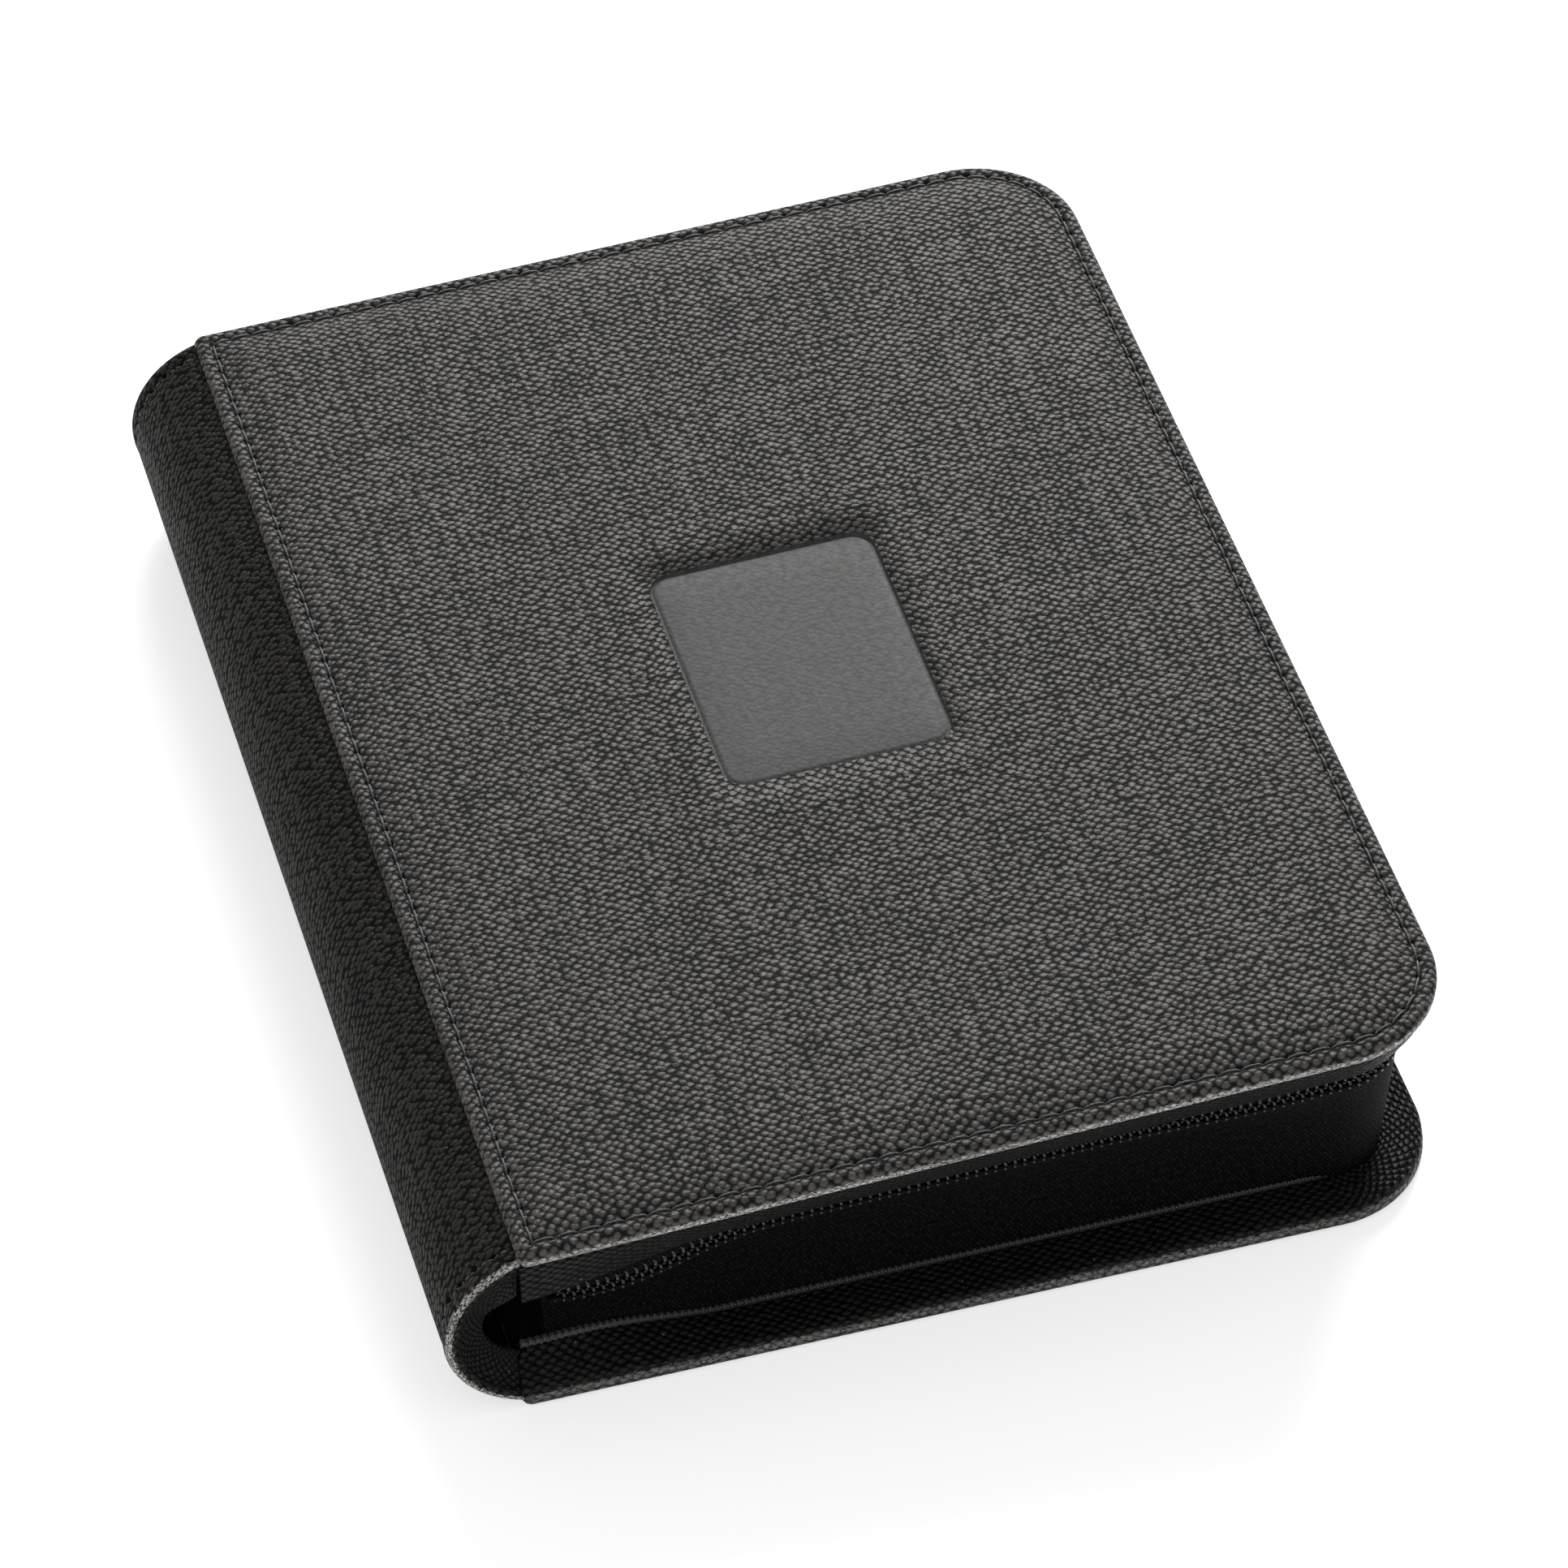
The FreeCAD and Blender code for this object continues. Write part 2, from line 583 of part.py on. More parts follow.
# ---------------------------------------------------------------- pages
PAGE_HINGE_X = "(%s + dims.strip_thickness + dims.page_hinge_gap)" % STRIP_X
PAGE_FORE_X = "(%s - dims.page_fore_margin)" % HALF_WIDTH


def page(number):
    """A side-loading page: a stiff core with a welded pouch on each face and a bare binding tab."""
    name = "page_%02d" % number
    level = "(dims.spine_height / 2 - %s + dims.page_stack_margin + %s * %.1f)" % (
        STRIP_HALF, PAGE_PITCH, number - 0.5)
    pouch_x = "%s + dims.page_tab" % PAGE_HINGE_X
    pouch_length = "%s - %s - dims.page_tab - dims.page_weld" % (PAGE_FORE_X, PAGE_HINGE_X)
    pouch_y = "dims.page_weld - %s" % PAGE_HALF_LENGTH
    pouch_width = "2 * %s - 2 * dims.page_weld" % PAGE_HALF_LENGTH
    return fuse(name, [
        box(name + "_core", "%s - %s" % (PAGE_FORE_X, PAGE_HINGE_X), "2 * " + PAGE_HALF_LENGTH, "dims.page_core",
            PAGE_HINGE_X, "-" + PAGE_HALF_LENGTH, level + " - dims.page_core / 2"),
        box(name + "_upper", pouch_length, pouch_width, POUCH, pouch_x, pouch_y, level + " + dims.page_core / 2"),
        box(name + "_lower", pouch_length, pouch_width, POUCH, pouch_x, pouch_y,
            level + " - dims.page_core / 2 - " + POUCH),
    ])


for number in range(1, PAGE_COUNT + 1):
    keep(page(number))

doc.recompute()


# ---------------------------------------------------------------- stitches
def stitch(x, y, turn, bottom):
    """One stitch, a flat dash centred on a point of its groove."""
    dash = Part.makeBox(size("stitch_length"), size("thread_width"), size("thread_height"),
                        FreeCAD.Vector(-size("stitch_length") / 2, -size("thread_width") / 2, 0))
    dash.Placement = FreeCAD.Placement(FreeCAD.Vector(x, y, bottom), FreeCAD.Rotation(FreeCAD.Vector(0, 0, 1), turn))
    return dash


def run_of_stitches(start, end, bottom):
    """Stitches along a straight run, evenly spaced and clear of its ends."""
    span = math.dist(start, end)
    turn = math.degrees(math.atan2(end[1] - start[1], end[0] - start[0]))
    count = int(span / size("stitch_pitch"))
    places = [(i + 0.5) / count for i in range(count)]
    return [stitch(start[0] + (end[0] - start[0]) * p, start[1] + (end[1] - start[1]) * p, turn, bottom)
            for p in places]


def corner_of_stitches(centre, radius, first, bottom):
    """Stitches round a quarter turn."""
    count = int(radius * math.pi / 2 / size("stitch_pitch"))
    turns = [first + 90.0 * (i + 0.5) / count for i in range(count)]
    return [stitch(centre[0] + radius * math.cos(math.radians(a)), centre[1] + radius * math.sin(math.radians(a)),
                   a + 90, bottom) for a in turns]


def stitched_outline(name, bottom, tilted):
    """The line of stitches that goes right round a cover."""
    inset = size("stitch_inset")
    x = size("cover_width") / 2 - inset
    y = size("cover_length") / 2 - inset
    r = size("corner_radius") - inset
    stitches = run_of_stitches((-x, -y), (x - r, -y), bottom) + corner_of_stitches((x - r, r - y), r, -90, bottom)
    stitches += run_of_stitches((x, r - y), (x, y - r), bottom) + corner_of_stitches((x - r, y - r), r, 0, bottom)
    stitches += run_of_stitches((x - r, y), (-x, y), bottom) + run_of_stitches((-x, y), (-x, -y), bottom)
    thread = doc.addObject("Part::Feature", name)
    thread.Shape = Part.makeCompound(stitches)
    thread.Label = name
    if tilted:
        tilt_with_lid(thread)
    return thread


sink = size("groove_depth")
back_thread = stitched_outline("back_thread", sink - size("thread_height"), tilted=False)
front_thread = stitched_outline("front_thread", size("spine_height") - sink, tilted=True)
keep(back_thread, front_thread)

# Everything on the lid is drawn level and turned about the front hinge.
LID_PARTS = [front_skin, front_foam, front_board, front_liner, front_hem, front_tape, front_coil, front_stops,
             back_coil, back_stop] + slider_parts
for lid_part in LID_PARTS:
    tilt_with_lid(lid_part)
doc.recompute()


# ---------------------------------------------------------------- check and write
faults = [thing.Name for thing in doc.Objects if "Invalid" in thing.State or "Error" in thing.State]
if faults:
    raise RuntimeError("failed features: %s" % faults)
for part in sub_parts:
    if part.Shape.isNull() or not part.Shape.isValid():
        raise RuntimeError("%s has no valid shape" % part.Label)
for part in sub_parts:
    part.Shape.exportStep("parts/%s.step" % part.Label)
    span = part.Shape.BoundBox
    print("%-20s x %7.2f %7.2f  y %7.2f %7.2f  z %6.2f %6.2f  vol %9.1f solids %d" % (
        part.Label, span.XMin, span.XMax, span.YMin, span.YMax, span.ZMin, span.ZMax, part.Shape.Volume,
        len(part.Shape.Solids)))
print(len(sub_parts), "parts; page pitch %.3f, pouch %.3f" % (value_of(PAGE_PITCH), value_of(POUCH)))
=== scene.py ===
# %% [markdown]
# # A zip-up card binder
# The binder is two padded covers joined by a soft half-round spine. A coil zipper runs round the
# three open sides, and twenty pocket pages are bound inside. The frame below is the engineered
# model: it says where everything is and how it moves. This file gives each piece its visible
# shape and its material, and never moves or resizes the frame.

# %% Load the frame
import json
import math
import random

import bmesh
import bpy
import numpy as np
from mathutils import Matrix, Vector


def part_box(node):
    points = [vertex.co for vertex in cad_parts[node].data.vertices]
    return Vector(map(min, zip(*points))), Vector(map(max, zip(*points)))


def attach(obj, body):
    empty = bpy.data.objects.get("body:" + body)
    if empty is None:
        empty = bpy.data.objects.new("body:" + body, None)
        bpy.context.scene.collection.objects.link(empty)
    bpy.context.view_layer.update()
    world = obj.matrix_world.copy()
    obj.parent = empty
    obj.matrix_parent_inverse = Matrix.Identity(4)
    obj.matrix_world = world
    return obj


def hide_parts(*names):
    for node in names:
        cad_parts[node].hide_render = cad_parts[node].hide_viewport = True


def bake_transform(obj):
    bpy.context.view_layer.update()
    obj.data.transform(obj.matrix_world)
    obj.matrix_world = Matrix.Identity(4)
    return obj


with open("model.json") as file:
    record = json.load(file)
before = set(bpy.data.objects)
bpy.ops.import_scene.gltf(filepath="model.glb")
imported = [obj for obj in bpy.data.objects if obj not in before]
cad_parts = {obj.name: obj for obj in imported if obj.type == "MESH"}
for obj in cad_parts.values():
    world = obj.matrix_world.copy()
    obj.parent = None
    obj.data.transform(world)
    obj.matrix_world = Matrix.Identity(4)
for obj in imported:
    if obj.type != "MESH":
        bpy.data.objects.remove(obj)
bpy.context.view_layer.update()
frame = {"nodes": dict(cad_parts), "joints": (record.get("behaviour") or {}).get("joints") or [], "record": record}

MM = 0.001
random.seed(7)


def node_slot(node):
    """The finish slot that the record gives a node."""
    return next(entry["material_slot"] for entry in frame["record"]["subparts"] if entry["node"] == node)


def span(node):
    """Lowest and highest corner of a node, in millimetres."""
    low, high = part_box(node)
    return np.array(low) / MM, np.array(high) / MM


# %% [markdown]
# ## Sizes
# All lengths below are in millimetres, because that is how a case maker thinks, and they turn to
# metres only when a mesh is made. The main ones are read from the frame, so that a new frame
# carries the looks along. The front cover is not level: it leans up from the seam by a small
# angle, which the slider's track gives away. Pieces on that cover are drawn level first and then
# leant by one function, just as one would draw them on a flat bench.

# %% Read the sizes
joints = {joint["name"]: joint for joint in frame["joints"]}
HALF_W, HALF_L, COVER = span("back_skin")[1]
CORNER = 18.5
STITCH_INSET, STITCH_PITCH = 2.8, 3.6
SPINE_STITCH_IN = 3.0
HINGE = np.array(joints["cover_fold"]["pos_m"]) / MM
track = joints["slider_slide"]["axis"]
LEAN = math.atan2(track[2], track[0])
lid_top = span("front_skin")[1][2]
SPINE_HEIGHT = HINGE[2] + (lid_top - HINGE[2] - 2 * HALF_W * math.sin(LEAN)) / math.cos(LEAN)


def lean(points):
    """Level lid coordinates to where they are on the leaning lid."""
    p = np.asarray(points, float)
    dx, dz = p[..., 0] - HINGE[0], p[..., 2] - HINGE[2]
    x = HINGE[0] + dx * math.cos(LEAN) - dz * math.sin(LEAN)
    z = HINGE[2] + dx * math.sin(LEAN) + dz * math.cos(LEAN)
    return np.stack([x, p[..., 1], z], -1)


def level(point):
    """The other way: a point of the leaning lid, drawn level."""
    dx, dz = point[0] - HINGE[0], point[2] - HINGE[2]
    x = HINGE[0] + dx * math.cos(LEAN) + dz * math.sin(LEAN)
    return np.array([x, point[1], HINGE[2] - dx * math.sin(LEAN) + dz * math.cos(LEAN)])


pivot = level(np.array(joints["pull_swing"]["pos_m"]) / MM)
CHAIN_Z = pivot[2]
HALF_TAPE_GAP = 0.3
TAPE_INSET = HALF_L - span("back_zipper_tape")[1][1] + HALF_TAPE_GAP
spine_low, spine_high = span("spine_skin")
sag = spine_high[0] - spine_low[0]
half_chord = (spine_high[2] - spine_low[2]) / 2
SPINE_R = (sag ** 2 + half_chord ** 2) / (2 * sag)
SPINE_X = spine_low[0] + SPINE_R
SPINE_Z = SPINE_HEIGHT / 2
SPINE_END = spine_high[1]
print("cover %.1f x %.1f, spine height %.2f, lean %.2f deg" % (2 * HALF_W, 2 * HALF_L, SPINE_HEIGHT,
                                                           math.degrees(LEAN)))
print("chain level %.2f, tape inset %.2f, spine radius %.2f" % (CHAIN_Z, TAPE_INSET, SPINE_R))

# %% [markdown]
# ## Camera, floor and light
# A product picture of a dark, satin thing wants broad soft light: one big panel high behind the
# object rakes across the grain, a weaker one fills the front, and a bright surround keeps the
# floor white. The camera has a long lens, as product cameras do, so the covers' edges stay nearly
# parallel.

# %% Camera
CAMERA_AT = (-245.2, -833.5, 885.2)
CAMERA_AZIMUTH, CAMERA_ELEVATION, CAMERA_LENS = -16.22, 45.2, 173.7

camera_data = bpy.data.cameras.new("product_camera")
camera_data.lens = CAMERA_LENS
camera_data.sensor_width = 36.0
camera_data.clip_start = 0.01
camera = bpy.data.objects.new("product_camera", camera_data)
bpy.context.scene.collection.objects.link(camera)
camera.location = Vector(CAMERA_AT) * MM
camera.rotation_euler = (math.radians(90 - CAMERA_ELEVATION), 0, math.radians(CAMERA_AZIMUTH))
bpy.context.scene.camera = camera
bpy.context.scene.view_settings.view_transform = "Standard"


# %% Floor and lights
def area_light(name, place, aim, side, watts):
    """A square area light that faces a point; places and side in metres."""
    data = bpy.data.lights.new(name, "AREA")
    data.shape = "SQUARE"
    data.size = side
    data.energy = watts
    lamp = bpy.data.objects.new(name, data)
    bpy.context.scene.collection.objects.link(lamp)
    lamp.location = place
    lamp.rotation_euler = (Vector(aim) - Vector(place)).to_track_quat("-Z", "Y").to_euler()
    return lamp


area_light("back_panel", (0.42, 1.0, 0.58), (0, 0, 0.02), 0.8, 22.0)
area_light("front_panel", (-0.45, -0.75, 0.70), (0, 0, 0.02), 0.15, 1.8)
world = bpy.data.worlds.new("studio")
world.use_nodes = True
world.node_tree.nodes["Background"].inputs["Color"].default_value = (1, 1, 1, 1)
world.node_tree.nodes["Background"].inputs["Strength"].default_value = 0.42
bpy.context.scene.world = world

floor_mesh = bpy.data.meshes.new("floor")
floor_mesh.from_pydata([(-4, -4, 0), (4, -4, 0), (4, 4, 0), (-4, 4, 0)], [], [(0, 1, 2, 3)])
floor = bpy.data.objects.new("floor", floor_mesh)
bpy.context.scene.collection.objects.link(floor)


# %% [markdown]
# ## Small helpers for materials
# Every finish here is built from shader nodes. The helpers add a node with its wires in one line.
# Effects that several finishes share are node groups with named inputs and outputs: the pebbled
# weave, the twill of woven tape, the wear along a folded edge, and dust. The shaders themselves
# stay in each material.

# %% Node helpers
def add(tree, kind, wires=None, **settings):
    """Add a shader node, set its options, and wire or fill its inputs."""
    made = tree.nodes.new("ShaderNode" + kind)
    for key, value in settings.items():
        setattr(made, key, value)
    for key, value in (wires or {}).items():
        if isinstance(value, bpy.types.NodeSocket):
            tree.links.new(value, made.inputs[key])
        else:
            made.inputs[key].default_value = value
    return made


def calc(tree, operation, first, second=0.0, clamp=False):
    """One math node."""
    return add(tree, "Math", {0: first, 1: second}, operation=operation, use_clamp=clamp).outputs[0]


def remap(tree, value, low, high, new_low=0.0, new_high=1.0):
    """Map a range smoothly to another."""
    wires = {"Value": value, "From Min": low, "From Max": high, "To Min": new_low, "To Max": new_high}
    return add(tree, "MapRange", wires, interpolation_type="SMOOTHSTEP").outputs["Result"]


def blend_colour(tree, share, first, second):
    """From the first colour to the second, by a share."""
    made = add(tree, "Mix", data_type="RGBA")
    for socket, value in zip((made.inputs[0], made.inputs[6], made.inputs[7]), (share, first, second)):
        if isinstance(value, bpy.types.NodeSocket):
            tree.links.new(value, socket)
        else:
            socket.default_value = value
    return made.outputs[2]


def noise(tree, vector, scale, detail=2.0):
    """Smooth noise over a place, from 0 to 1."""
    return add(tree, "TexNoise", {"Vector": vector, "Scale": scale, "Detail": detail}).outputs["Fac"]


def stretched(tree, vector, x, y):
    """A place scaled along its two directions."""
    return add(tree, "VectorMath", {0: vector, 1: (x, y, 1.0)}, operation="MULTIPLY").outputs[0]


def new_group(name, inputs, outputs):
    """A node group with named sockets. Returns it with its inner input and output sockets."""
    group = bpy.data.node_groups.new(name, "ShaderNodeTree")
    for label, value in inputs.items():
        kind = "NodeSocketVector" if value is None else "NodeSocketFloat"
        socket = group.interface.new_socket(label, in_out="INPUT", socket_type=kind)
        if value is not None:
            socket.default_value = value
    for label in outputs:
        group.interface.new_socket(label, in_out="OUTPUT", socket_type="NodeSocketFloat")
    return group, group.nodes.new("NodeGroupInput").outputs, group.nodes.new("NodeGroupOutput").inputs


def place_group(tree, group, wires):
    """Put a group in a material and wire its inputs."""
    made = tree.nodes.new("ShaderNodeGroup")
    made.node_tree = group
    for key, value in wires.items():
        if isinstance(value, bpy.types.NodeSocket):
            tree.links.new(value, made.inputs[key])
        else:
            made.inputs[key].default_value = value
    return made.outputs


# %% [markdown]
# ### Pebbled weave
# The leatherette is embossed with a coarse plain weave: oval bumps in staggered rows, a little
# uneven, with thicker rows and columns here and there as slubby yarn gives. A staggered grid is a
# square grid turned by 45 degrees, so the group turns its coordinates and lets a Voronoi texture
# with low randomness place one bump in each cell. It works in millimetres on the sheet before it
# is folded, which each piece carries as a UV map.

# %% The pebbled weave group
def pebbled_weave():
    """The bumps' height, from 0 in the grooves to about 1, and a tone of its own for each bump."""
    sockets = {"Sheet": None, "Bump Width": 2.0, "Bump Length": 1.6, "Unevenness": 0.35, "Slub": 1.0}
    group, given, result = new_group("pebbled weave", sockets, ("Height", "Tone"))
    slow_noise = {"Vector": given["Sheet"], "Scale": 0.11, "Detail": 1.0}
    wander = add(group, "TexNoise", slow_noise).outputs["Color"]
    wander = add(group, "VectorMath", {0: wander, 1: (0.5, 0.5, 0.5)}, operation="SUBTRACT").outputs[0]
    wander = add(group, "VectorMath", {0: wander, 3: 1.6}, operation="SCALE").outputs[0]
    sheet = add(group, "VectorMath", {0: given["Sheet"], 1: wander}, operation="ADD").outputs[0]
    along = add(group, "SeparateXYZ", {0: sheet}).outputs
    u = calc(group, "DIVIDE", along[0], given["Bump Width"])
    v = calc(group, "DIVIDE", along[1], given["Bump Length"])
    turned = {0: calc(group, "ADD", u, v), 1: calc(group, "SUBTRACT", u, v)}
    cell = add(group, "CombineXYZ", turned).outputs[0]
    bump = add(group, "TexVoronoi", {"Vector": cell, "Scale": 1.0, "Randomness": given["Unevenness"]},
               voronoi_dimensions="2D").outputs
    own = add(group, "SeparateXYZ", {0: bump["Color"]}).outputs
    rows = noise(group, stretched(group, sheet, 0.03, 1.1), 1.0, 1.0)
    columns = noise(group, stretched(group, sheet, 1.0, 0.03), 1.0, 1.0)
    slub = calc(group, "SUBTRACT", calc(group, "ADD", rows, columns), 1.0)
    slub = calc(group, "MULTIPLY", slub, given["Slub"])
    radius = calc(group, "ADD", calc(group, "MULTIPLY", slub, 0.22), 0.52)
    radius = calc(group, "ADD", radius, calc(group, "MULTIPLY", own[0], 0.10))
    across = calc(group, "DIVIDE", bump["Distance"], radius)
    dome = calc(group, "SUBTRACT", 1.0, calc(group, "POWER", across, 3.2), clamp=True)
    dome = calc(group, "POWER", dome, 0.75)
    fine = noise(group, sheet, 3.2, 3.0)
    strands = calc(group, "MULTIPLY", fine, 0.16)
    tall = calc(group, "MULTIPLY", dome, remap(group, slub, -0.5, 0.5, 0.75, 1.1))
    height = calc(group, "MAXIMUM", tall, strands)
    group.links.new(calc(group, "ADD", height, calc(group, "MULTIPLY", fine, 0.05)), result["Height"])
    slub_tone = remap(group, slub, -0.4, 0.4, 0.0, 0.55)
    tone = calc(group, "ADD", calc(group, "MULTIPLY", own[1], 0.45), slub_tone)
    group.links.new(tone, result["Tone"])
    return group


WEAVE = pebbled_weave()
print("pebbled weave:", len(WEAVE.nodes), "nodes")

# %% [markdown]
# ### Wear along a fold
# Where leatherette is folded round an edge, its skin rubs through and the pale cloth below shows as
# broken fibres. It could be painted by hand, but then it would not follow a change of shape. Here
# each sheet carries a second UV map named edge, which holds the distance from the fold, and the
# group draws a ragged, patchy band at a chosen distance.

# %% The folded edge wear group
def folded_edge_wear():
    """Where a fold has rubbed: broken fibres along a band at a given distance from the edge."""
    sockets = {"Edge": None, "From": -0.6, "To": 0.5, "Amount": 1.0}
    group, given, result = new_group("folded edge wear", sockets, ("Mask",))
    along = add(group, "SeparateXYZ", {0: given["Edge"]}).outputs
    ragged = noise(group, stretched(group, given["Edge"], 0.9, 1.6), 1.0, 3.0)
    shift = calc(group, "MULTIPLY", calc(group, "SUBTRACT", ragged, 0.5), 1.6)
    depth = calc(group, "ADD", along[1], shift)
    middle = calc(group, "MULTIPLY", calc(group, "ADD", given["From"], given["To"]), 0.5)
    half = calc(group, "MULTIPLY", calc(group, "SUBTRACT", given["To"], given["From"]), 0.5)
    off = calc(group, "DIVIDE", calc(group, "ABSOLUTE", calc(group, "SUBTRACT", depth, middle)), half)
    band = remap(group, off, 1.25, 0.6)
    along_fold = noise(group, stretched(group, given["Edge"], 0.035, 0.0), 1.0, 2.0)
    patchy = remap(group, along_fold, 0.28, 0.52, 0.25, 1.0)
    fibres = remap(group, noise(group, stretched(group, given["Edge"], 1.6, 4.5), 1.0, 2.0), 0.36, 0.60)
    mask = calc(group, "MULTIPLY", calc(group, "MULTIPLY", band, patchy), fibres)
    group.links.new(calc(group, "MULTIPLY", mask, given["Amount"], clamp=True), result["Mask"])
    return group


WEAR = folded_edge_wear()
print("folded edge wear:", len(WEAR.nodes), "nodes")

# %% [markdown]
# ### Twill and dust
# Zipper tape is woven in a herringbone, and linings are a plain fine cloth. Both come from one
# group, because a herringbone with narrow stripes reads as plain cloth. Dust is a sparse scatter
# of pale specks that keeps the black skin from looking freshly printed.

# %% The woven twill group
def woven_twill():
    """Herringbone cloth: fine slanted ribs that change side from one stripe to the next."""
    sockets = {"Sheet": None, "Rib": 0.55, "Stripe": 5.2}
    group, given, result = new_group("woven twill", sockets, ("Height", "Thread"))
    along = add(group, "SeparateXYZ", {0: given["Sheet"]}).outputs
    stripe = calc(group, "PINGPONG", along[1], given["Stripe"])
    slant = calc(group, "ADD", along[0], calc(group, "MULTIPLY", stripe, 0.8))
    rib = calc(group, "PINGPONG", slant, calc(group, "MULTIPLY", given["Rib"], 0.5))
    rib = calc(group, "DIVIDE", rib, calc(group, "MULTIPLY", given["Rib"], 0.5))
    crossing = calc(group, "SUBTRACT", along[0], calc(group, "MULTIPLY", stripe, 0.9))
    dash = calc(group, "PINGPONG", crossing, 0.42)
    dash = remap(group, dash, 0.06, 0.3)
    thread = calc(group, "MULTIPLY", rib, dash)
    group.links.new(thread, result["Height"])
    lively = noise(group, given["Sheet"], 1.3, 2.0)
    group.links.new(calc(group, "MULTIPLY", thread, remap(group, lively, 0.35, 0.7)), result["Thread"])
    return group


TWILL = woven_twill()
print("woven twill:", len(TWILL.nodes), "nodes")


# %% The settled dust group
def settled_dust():
    """A few pale specks."""
    group, given, result = new_group("settled dust", {"Sheet": None, "Spacing": 9.0}, ("Specks",))
    scale = calc(group, "DIVIDE", 1.0, given["Spacing"])
    spread = {"Vector": given["Sheet"], "Scale": scale}
    speck = add(group, "TexVoronoi", spread, voronoi_dimensions="2D").outputs
    group.links.new(remap(group, speck["Distance"], 0.022, 0.008), result["Specks"])
    return group


DUST = settled_dust()
print("settled dust:", len(DUST.nodes), "nodes")


# %% [markdown]
# ### Finishes
# Leatherette is soft plastic on cloth: charcoal and satin on the bumps, and grey where a fold has
# rubbed. The grooves between the bumps are painted nearly black, as painted shade, since the bumps
# are only a bump map and cast no shade of their own. One function makes all its variants, so that
# the covers, the spine and the hems stay one family; the back cover's, the spine's and the hems'
# copies are painted darker, as painted shade for the places that get less light.

# %% Finish helpers
def new_material(name):
    """An empty material with a Principled shader."""
    material = bpy.data.materials.new(name)
    material.use_nodes = True
    return material, material.node_tree, material.node_tree.nodes["Principled BSDF"]


def sheet_map(tree, name="sheet"):
    """A UV map of the piece, by its name."""
    return add(tree, "UVMap", uv_map=name).outputs["UV"]


def own_place(tree):
    """The part's own coordinates, in millimetres."""
    place = add(tree, "TexCoord").outputs["Object"]
    return add(tree, "VectorMath", {0: place, 3: 1 / MM}, operation="SCALE").outputs[0]


def feed(tree, shader, colour=None, roughness=None, height=None, depth=0.2):
    """Wire colour, roughness and a bump of a given depth in millimetres into a shader."""
    if colour is not None:
        tree.links.new(colour, shader.inputs["Base Color"])
    if roughness is not None:
        tree.links.new(roughness, shader.inputs["Roughness"])
    if height is not None:
        bump = add(tree, "Bump", {"Strength": 1.0, "Distance": depth * MM, "Height": height})
        tree.links.new(bump.outputs["Normal"], shader.inputs["Normal"])


def leatherette(name, groove_shade, top, width, length, depth, wear=0.0, band=(-0.6, 0.5),
                rough=(0.42, 0.66), uneven=0.35, slub=1.0, mapped=True, gloss=0.38, holes=None):
    """Embossed leatherette. The first colour is painted shade, nearly black, laid in the grooves
    between the bumps; top is the bumps' own colour. width, length and depth are a bump's, band is
    where the fold has worn, rough is the roughness of the tops and of the grooves, and holes is the
    stitch line's inset and pitch, where each stitch hole is painted black as painted shade."""
    material, tree, shader = new_material(name)
    sheet = sheet_map(tree) if mapped else own_place(tree)
    grain = place_group(tree, WEAVE, {"Sheet": sheet, "Bump Width": width, "Bump Length": length,
                                      "Unevenness": uneven, "Slub": slub})
    dull = [c * 0.62 for c in top[:3]] + [1]
    lit = blend_colour(tree, remap(tree, grain["Tone"], 0.1, 0.95), dull, top)
    # painted shade: the grooves between the bumps go nearly black, following the bump height
    colour = blend_colour(tree, remap(tree, grain["Height"], 0.05, 0.8), groove_shade, lit)
    specks = place_group(tree, DUST, {"Sheet": sheet, "Spacing": 11.0})["Specks"]
    colour = blend_colour(tree, calc(tree, "MULTIPLY", specks, 0.35), colour, (0.35, 0.33, 0.30, 1))
    roughness = remap(tree, grain["Height"], 0.1, 0.9, rough[1], rough[0])
    # painted shade: each stitch hole on the stitch line is painted black
    if holes:
        edge = add(tree, "SeparateXYZ", {0: sheet_map(tree, "edge")}).outputs
        line_inset, hole_pitch = holes
        near_hole = remap(tree, calc(tree, "PINGPONG", edge[0], hole_pitch / 2), 0.85, 0.3)
        off_line = calc(tree, "ABSOLUTE", calc(tree, "SUBTRACT", edge[1], line_inset))
        on_line = remap(tree, off_line, 0.75, 0.25)
        colour = blend_colour(tree, calc(tree, "MULTIPLY", near_hole, on_line), colour, (0, 0, 0, 1))
    if wear:
        rubbed = place_group(tree, WEAR, {"Edge": sheet_map(tree, "edge"), "From": band[0], "To": band[1],
                                          "Amount": wear})["Mask"]
        colour = blend_colour(tree, rubbed, colour, (0.62, 0.61, 0.58, 1))
    feed(tree, shader, colour, roughness, grain["Height"], depth)
    shader.inputs["Specular IOR Level"].default_value = gloss
    return material


def woven(name, dark, light, rib, stripe, depth, mapped=True):
    """Woven cloth: rib is the pitch of its slanted ribs, and stripe the width of a herringbone stripe."""
    material, tree, shader = new_material(name)
    sheet = sheet_map(tree) if mapped else own_place(tree)
    cloth = place_group(tree, TWILL, {"Sheet": sheet, "Rib": rib, "Stripe": stripe})
    feed(tree, shader, blend_colour(tree, cloth["Thread"], dark, light), None, cloth["Height"], depth)
    shader.inputs["Roughness"].default_value = 0.75
    shader.inputs["Specular IOR Level"].default_value = 0.08
    return material


